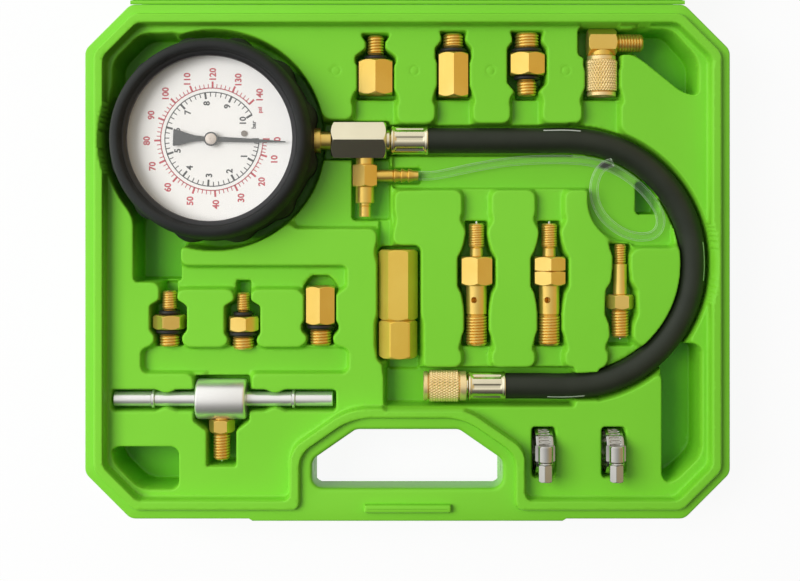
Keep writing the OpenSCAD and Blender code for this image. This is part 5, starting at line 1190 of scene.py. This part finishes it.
CLAMP_X = (72.5, 109.8)
SCREW_Z = 42.4
for index, x in enumerate(CLAMP_X, start=1):
    piece(f"clamp_band_{index}_steel", [band_strip(x)], f"clamp_{index}", chrome,
          [f"clamp_band_{index}"])
    piece(f"clamp_housing_{index}_steel", [screw_housing(x)], f"clamp_{index}", chrome,
          [f"clamp_housing_{index}"])
    screw = turned((x, -96.9, SCREW_Z), "front",
                   [("plain", 8.4, 4.4), ("plain", 1.0, 8.2), ("hex_left", 9.1, 7.0)],
                   bores=((0, 0), (2.6, 2.0)))
    piece(f"clamp_screw_{index}_steel", [screw], f"clamp_screw_{index}", chrome,
          [f"clamp_screw_{index}"])
print("clamps:", len(CLAMP_X))

# %% [markdown]
# The gauge wears a thick rubber boot with twelve grips round it. From above the boot is a circle in front
# and a flower behind. Both are one turned grid: each ring has a plain radius, and a share says how far it
# swells to the flower. A grip is a circle set out from the centre, and the distance to its far side gives
# the flower's radius.

# %% Boot
GAUGE = np.array((-103.0, 64.5, 0.0))
BOOT_COLUMNS = 480
BOOT_ROWS = np.array([
    (10.0, 0.0, 0), (10.0, 43.5, 0), (10.3, 46.3, 0), (11.2, 48.0, 0), (12.6, 48.8, 0), (13.8, 49.1, 0.12),
    (15.0, 49.2, 0.4), (16.5, 49.2, 0.68), (18.5, 49.2, 0.88), (21.5, 49.2, 1), (27.0, 49.2, 1),
    (32.0, 49.2, 1), (35.0, 50.2, 0.94), (37.2, 51.2, 0.76), (38.8, 51.9, 0.48), (39.9, 52.4, 0.2),
    (40.8, 52.6, 0), (46.0, 52.7, 0), (48.0, 52.3, 0),
    (50.4, 51.7, 0), (52.2, 51.0, 0), (53.4, 50.2, 0), (54.1, 49.3, 0), (54.4, 48.4, 0), (54.4, 47.5, 0),
    (54.0, 46.7, 0), (53.3, 46.2, 0), (52.4, 46.0, 0), (52.1, 45.5, 0), (51.7, 45.2, 0), (51.1, 45.1, 0),
    (51.1, 46.8, 0), (12.2, 46.8, 0), (12.2, 0.0, 0)])
GRIP_OUT, GRIP_R, VALLEY, GRIPS = 46.2, 9.9, 53.6, 12


def boot_grid():
    """Radius = plain + share (flower - plain); flower = far side of a GRIP_R circle set out GRIP_OUT."""
    z, ring, share = BOOT_ROWS.T[..., None]
    pitch = 2 * np.pi / GRIPS
    off = (around_bar(BOOT_COLUMNS) % pitch) - pitch / 2
    far = GRIP_OUT * np.cos(off) + np.sqrt(np.maximum(GRIP_R ** 2 - (GRIP_OUT * np.sin(off)) ** 2, 0))
    flower = blend_max(far, np.full_like(far, VALLEY), 1.5)
    r = ring + share * (flower - ring)
    return part_of(set_rings(GAUGE, "up", BOOT_ROWS[:, 0], r))


boot = piece("gauge_boot_rubber", [boot_grid()], "gauge_set", boot_rubber, ["gauge_boot"],
             sharp=50.0)
print("boot faces:", len(boot.data.polygons))

# %% [markdown]
# Bezel, lens and dial are turned plates. The lens is nearly clear: a see-through finish with a sharp gloss
# keeps the dial readable and still mirrors the room. The dial is a white satin plate.

# %% Bezel, lens and dial plate
def turned_plate(rows, columns=240):
    """Plate turned about the gauge's axis from (radius, z) rows that end on the axis or meet."""
    rows = np.array(rows)
    return part_of(set_rings(GAUGE, "up", rows[:, 1], np.repeat(rows[:, :1], columns, 1)))


BEZEL = [(46.7, 48.25), (46.7, 50.6), (46.4, 50.95), (45.4, 51.0), (44.6, 50.8), (43.4, 50.2), (43.0, 49.4),
         (42.9, 48.25), (46.7, 48.25)]
piece("gauge_bezel_painted", [turned_plate(BEZEL)], "gauge_set", bezel_paint,
      ["gauge_bezel"], sharp=40.0)
lens_clear = worked_finish("lens_clear", ((0.92, 0.95, 0.94), (0.88, 0.92, 0.91)), (0.03, 0.07), patch=20.0,
                           bump=0.0, Alpha=0.06)
LENS_DISC = [(0, 46.25), (46.7, 46.25), (46.7, 48.2), (0, 48.2)]
piece("gauge_lens_clear", [turned_plate(LENS_DISC)], "gauge_set", lens_clear, ["gauge_lens"])
dial_white = worked_finish("dial_white", ((0.95, 0.93, 0.90), (0.91, 0.89, 0.86)), (0.3, 0.4), patch=14.0,
                           grain=2500.0, bump=0.04, depth=0.01)
DIAL_TOP = 40.5
DIAL_DISC = [(0, 39.75), (45.2, 39.75), (45.25, 40.3), (45.1, DIAL_TOP), (0, DIAL_TOP)]
piece("dial_plate_white", [turned_plate(DIAL_DISC)], "gauge_set", dial_white, ["dial_plate"])
print("dial at", DIAL_TOP, "mm")

# %% [markdown]
# The dial is printed in two colours: pounds per square inch outside in red, bar inside in black. Marks are
# thin flat patches a few hundredths above the plate, so that they survive an export that knows no images. A
# tick is a small rectangle turned about the centre; the numbers are Blender text made into meshes and laid
# at their angles.

# %% Dial marks
MARK_Z = DIAL_TOP + 0.03
PSI_STEP, ZERO_TURN = 2.302, -5.5


def psi_turn(psi):
    """Turn clockwise from the right in degrees: a straight scale, its first tenth drawn in to 0."""
    psi = np.asarray(psi, float)
    return np.where(psi < 10, psi / 10 * (ZERO_TURN + 10 * PSI_STEP), ZERO_TURN + PSI_STEP * psi)


def ticks(turns, inner, outer, width):
    """Flat rectangles along the radius, one for each turn."""
    turns = np.radians(-np.asarray(turns, float))[:, None]
    r = np.array([inner, outer, outer, inner])[None]
    side = np.array([-1, -1, 1, 1])[None] * width / 2
    x = r * np.cos(turns) - side * np.sin(turns)
    y = r * np.sin(turns) + side * np.cos(turns)
    points = np.stack([x, y, np.full_like(x, MARK_Z)], -1).reshape(-1, 3) + GAUGE
    return points, np.arange(len(points)).reshape(-1, 4)


def arc_line(r, width, first, last):
    """Thin flat ring between two turns."""
    turn = np.radians(-np.linspace(first, last, 200))[::-1]
    ring = np.stack([np.cos(turn), np.sin(turn), np.zeros(200)], -1)
    points = np.stack([ring * (r - width / 2), ring * (r + width / 2)]) + GAUGE + (0, 0, MARK_Z)
    return points.reshape(-1, 3), grid_faces(2, 200, closed=False)[:, ::-1]


def letters(text, size, x, y):
    """Mesh of a text, centred at a place on the dial and turned a quarter, as the gauge lies."""
    curve = bpy.data.curves.new("mark", "FONT")
    curve.body, curve.size, curve.align_x, curve.align_y = text, size, "CENTER", "CENTER"
    curve.resolution_u, curve.offset = 3, 0.035 * size
    holder = bpy.data.objects.new("mark", curve)
    scene.collection.objects.link(holder)
    bpy.context.view_layer.update()
    mesh = bpy.data.meshes.new_from_object(holder.evaluated_get(bpy.context.evaluated_depsgraph_get()))
    flat = np.empty(len(mesh.vertices) * 3)
    mesh.vertices.foreach_get("co", flat)
    mesh.calc_loop_triangles()
    faces = np.empty(len(mesh.loop_triangles) * 3, int)
    mesh.loop_triangles.foreach_get("vertices", faces)
    bpy.data.objects.remove(holder)
    flat = flat.reshape(-1, 3)
    flat = flat - (flat.max(0) + flat.min(0)) / 2
    points = np.stack([x - flat[:, 1], y + flat[:, 0], np.full(len(flat), MARK_Z)], -1) + GAUGE
    return points, faces.reshape(-1, 3)


def numbers(values, turns, r, size):
    """Numbers round the dial, upright for someone who holds the gauge by its stem."""
    turns = np.radians(-np.asarray(turns, float))
    return [letters(str(v), size, r * np.cos(t), r * np.sin(t)) for v, t in zip(values, turns)]


red_ink = worked_finish("red_ink", ((0.55, 0.035, 0.06), (0.48, 0.03, 0.05)), (0.4, 0.5), bump=0.0)
black_ink = worked_finish("black_ink", ((0.022, 0.022, 0.024), (0.016, 0.016, 0.018)), (0.4, 0.5), bump=0.0)
minor_psi = np.array([p for p in range(0, 141, 2) if p % 10])
major_psi = np.arange(0, 141, 10)
red_marks = [ticks(psi_turn(minor_psi), 26.8, 29.1, 0.46), ticks(psi_turn(major_psi), 26.8, 30.4, 1.05),
             arc_line(26.95, 0.55, 0, 317), letters("psi", 3.0, 25.6, 15.4)]
red_marks += numbers(major_psi, psi_turn(major_psi), 34.4, 4.7)
BAR = 14.504
minor_bar = np.array([b / 10 for b in range(0, 101, 2) if b % 10])
major_bar = np.arange(0, 11)
black_marks = [ticks(psi_turn(minor_bar * BAR), 22.4, 24.7, 0.5),
               ticks(psi_turn(major_bar * BAR), 21.3, 24.8, 1.1),
               arc_line(24.75, 0.55, 0, 328.4), letters("bar", 3.1, 22.0, 7.7)]
black_marks += numbers(major_bar[1:], psi_turn(major_bar[1:] * BAR), 19.1, 4.6)
piece("dial_marks_red", red_marks, "gauge_set", red_ink, sharp=0, closed=False)
piece("dial_marks_black", black_marks, "gauge_set", black_ink, sharp=0, closed=False)
print("marks:", len(red_marks) + len(black_marks))

# %% [markdown]
# The pointer is pressed from thin sheet: a long taper in front, a fan behind. Its outline is a half width
# at each place along its length, mirrored; a pressed hub with a pale cap holds it to the shaft.

# %% Pointer
POINTER_TURN = np.radians(-2.2)
ALONG = np.array([-20.0, -19.6, -17.0, -14.0, -11.0, -8.0, -4.0, 0.0, 5.0, 15.0, 25.0, 30.0, 36.0, 39.0])
HALF = np.array([4.0, 4.45, 3.9, 3.0, 2.1, 1.5, 1.25, 1.3, 1.35, 1.15, 0.9, 0.65, 0.42, 0.3])


def pointer_plate():
    """Flat bar: section corners (half width, z) at each place along it, closed at both ends."""
    along = np.concatenate([ALONG[:1], ALONG, ALONG[-1:]])
    half = np.concatenate([[0], HALF, [0]])
    z = np.where(half > 0, 1, 0) * 0.3
    across = np.stack([half, half, -half, -half], 1)
    height = 42.8 + np.stack([-z, z, z, -z], 1)
    x = np.repeat(along[:, None], 4, 1)
    turned_x = x * np.cos(POINTER_TURN) - across * np.sin(POINTER_TURN)
    turned_y = x * np.sin(POINTER_TURN) + across * np.cos(POINTER_TURN)
    grid = np.stack([turned_x, turned_y, height], -1) + GAUGE
    return part_of(grid)


pointer_black = worked_finish("pointer_black", ((0.028, 0.028, 0.030), (0.020, 0.020, 0.022)), (0.35, 0.5),
                              bump=0.05)
hub_cap = worked_finish("hub_cap", ((0.78, 0.68, 0.60), (0.70, 0.60, 0.52)), (0.3, 0.42), metal=0.4,
                        patch=300.0)
HUB = [(0, 43.0), (3.7, 43.0), (3.75, 43.9), (3.5, 44.3), (3.0, 44.4), (2.95, 44.1), (0, 44.1)]
CAP = [(0, 44.0), (2.9, 44.0), (2.9, 44.35), (2.6, 44.55), (0.6, 44.62), (0.5, 44.4), (0, 44.4)]
piece("pointer_sheet", [pointer_plate(), turned_plate(HUB, 64)], "pointer", pointer_black,
      ["pointer"])
piece("pointer_cap", [turned_plate(CAP, 64)], "pointer", hub_cap)
print("pointer length:", ALONG[-1] - ALONG[0], "mm")

# %% [markdown]
# Some solids need no new shape: the can, the movement behind the dial and a few small turned parts hidden
# in others. They keep their CAD mesh and get a finish.

# %% Finishes of the solids that stay
STAYS = {"gauge_can": pin_steel, "movement_frame": brass_x, "bourdon_tube": brass_x,
         "movement_link": brass_x, "gauge_socket": brass_x, "sector_gear": brass_x,
         "pointer_shaft": pin_steel, "bleed_spring": pin_steel, "coupler_seal": ring_rubber,
         "coupler_stem": nickel, "dial_screws": screw_brown}
for name, finish in STAYS.items():
    solid = bpy.data.objects[name]
    solid.data.materials.clear()
    solid.data.materials.append(finish)
print("finished solids:", len(STAYS))

# %% [markdown]
# Seen straight on the table is white; for light it stays an ordinary matt surface, so that the case's
# shadow still falls on it. Light Path tells the two apart.

# %% Table
table_finish = worked_finish("white_table", ((0.86, 0.86, 0.86), (0.82, 0.82, 0.82)), (0.55, 0.7),
                             patch=4.0)
WHITE_SHARE = 0.93
tree = table_finish.node_tree
glow = tree.nodes.new("ShaderNodeEmission")
rays = tree.nodes.new("ShaderNodeLightPath").outputs
seen = math_step(tree, "ADD", rays["Is Camera Ray"], rays["Is Glossy Ray"], clamp=True)
seen = math_step(tree, "ADD", seen, rays["Is Transmission Ray"], clamp=True)
blend = tree.nodes.new("ShaderNodeMixShader")
tree.links.new(math_step(tree, "MULTIPLY", seen, WHITE_SHARE), blend.inputs["Fac"])
tree.links.new(tree.nodes["Principled BSDF"].outputs["BSDF"], blend.inputs[1])
tree.links.new(glow.outputs["Emission"], blend.inputs[2])
tree.links.new(blend.outputs["Shader"], tree.nodes["Material Output"].inputs["Surface"])
TABLE_HALF, TABLE_Z = 2500.0, -0.05
table_points = np.array([(-1, -1, 0), (1, -1, 0), (1, 1, 0), (-1, 1, 0)]) * TABLE_HALF + (0, 0, TABLE_Z)
table_mesh = mesh_of("table", [(table_points, np.arange(4)[None])])
table_mesh.materials.append(table_finish)
table = bpy.data.objects.new("table", table_mesh)
scene.collection.objects.link(table)
print("table at", TABLE_Z, "mm")
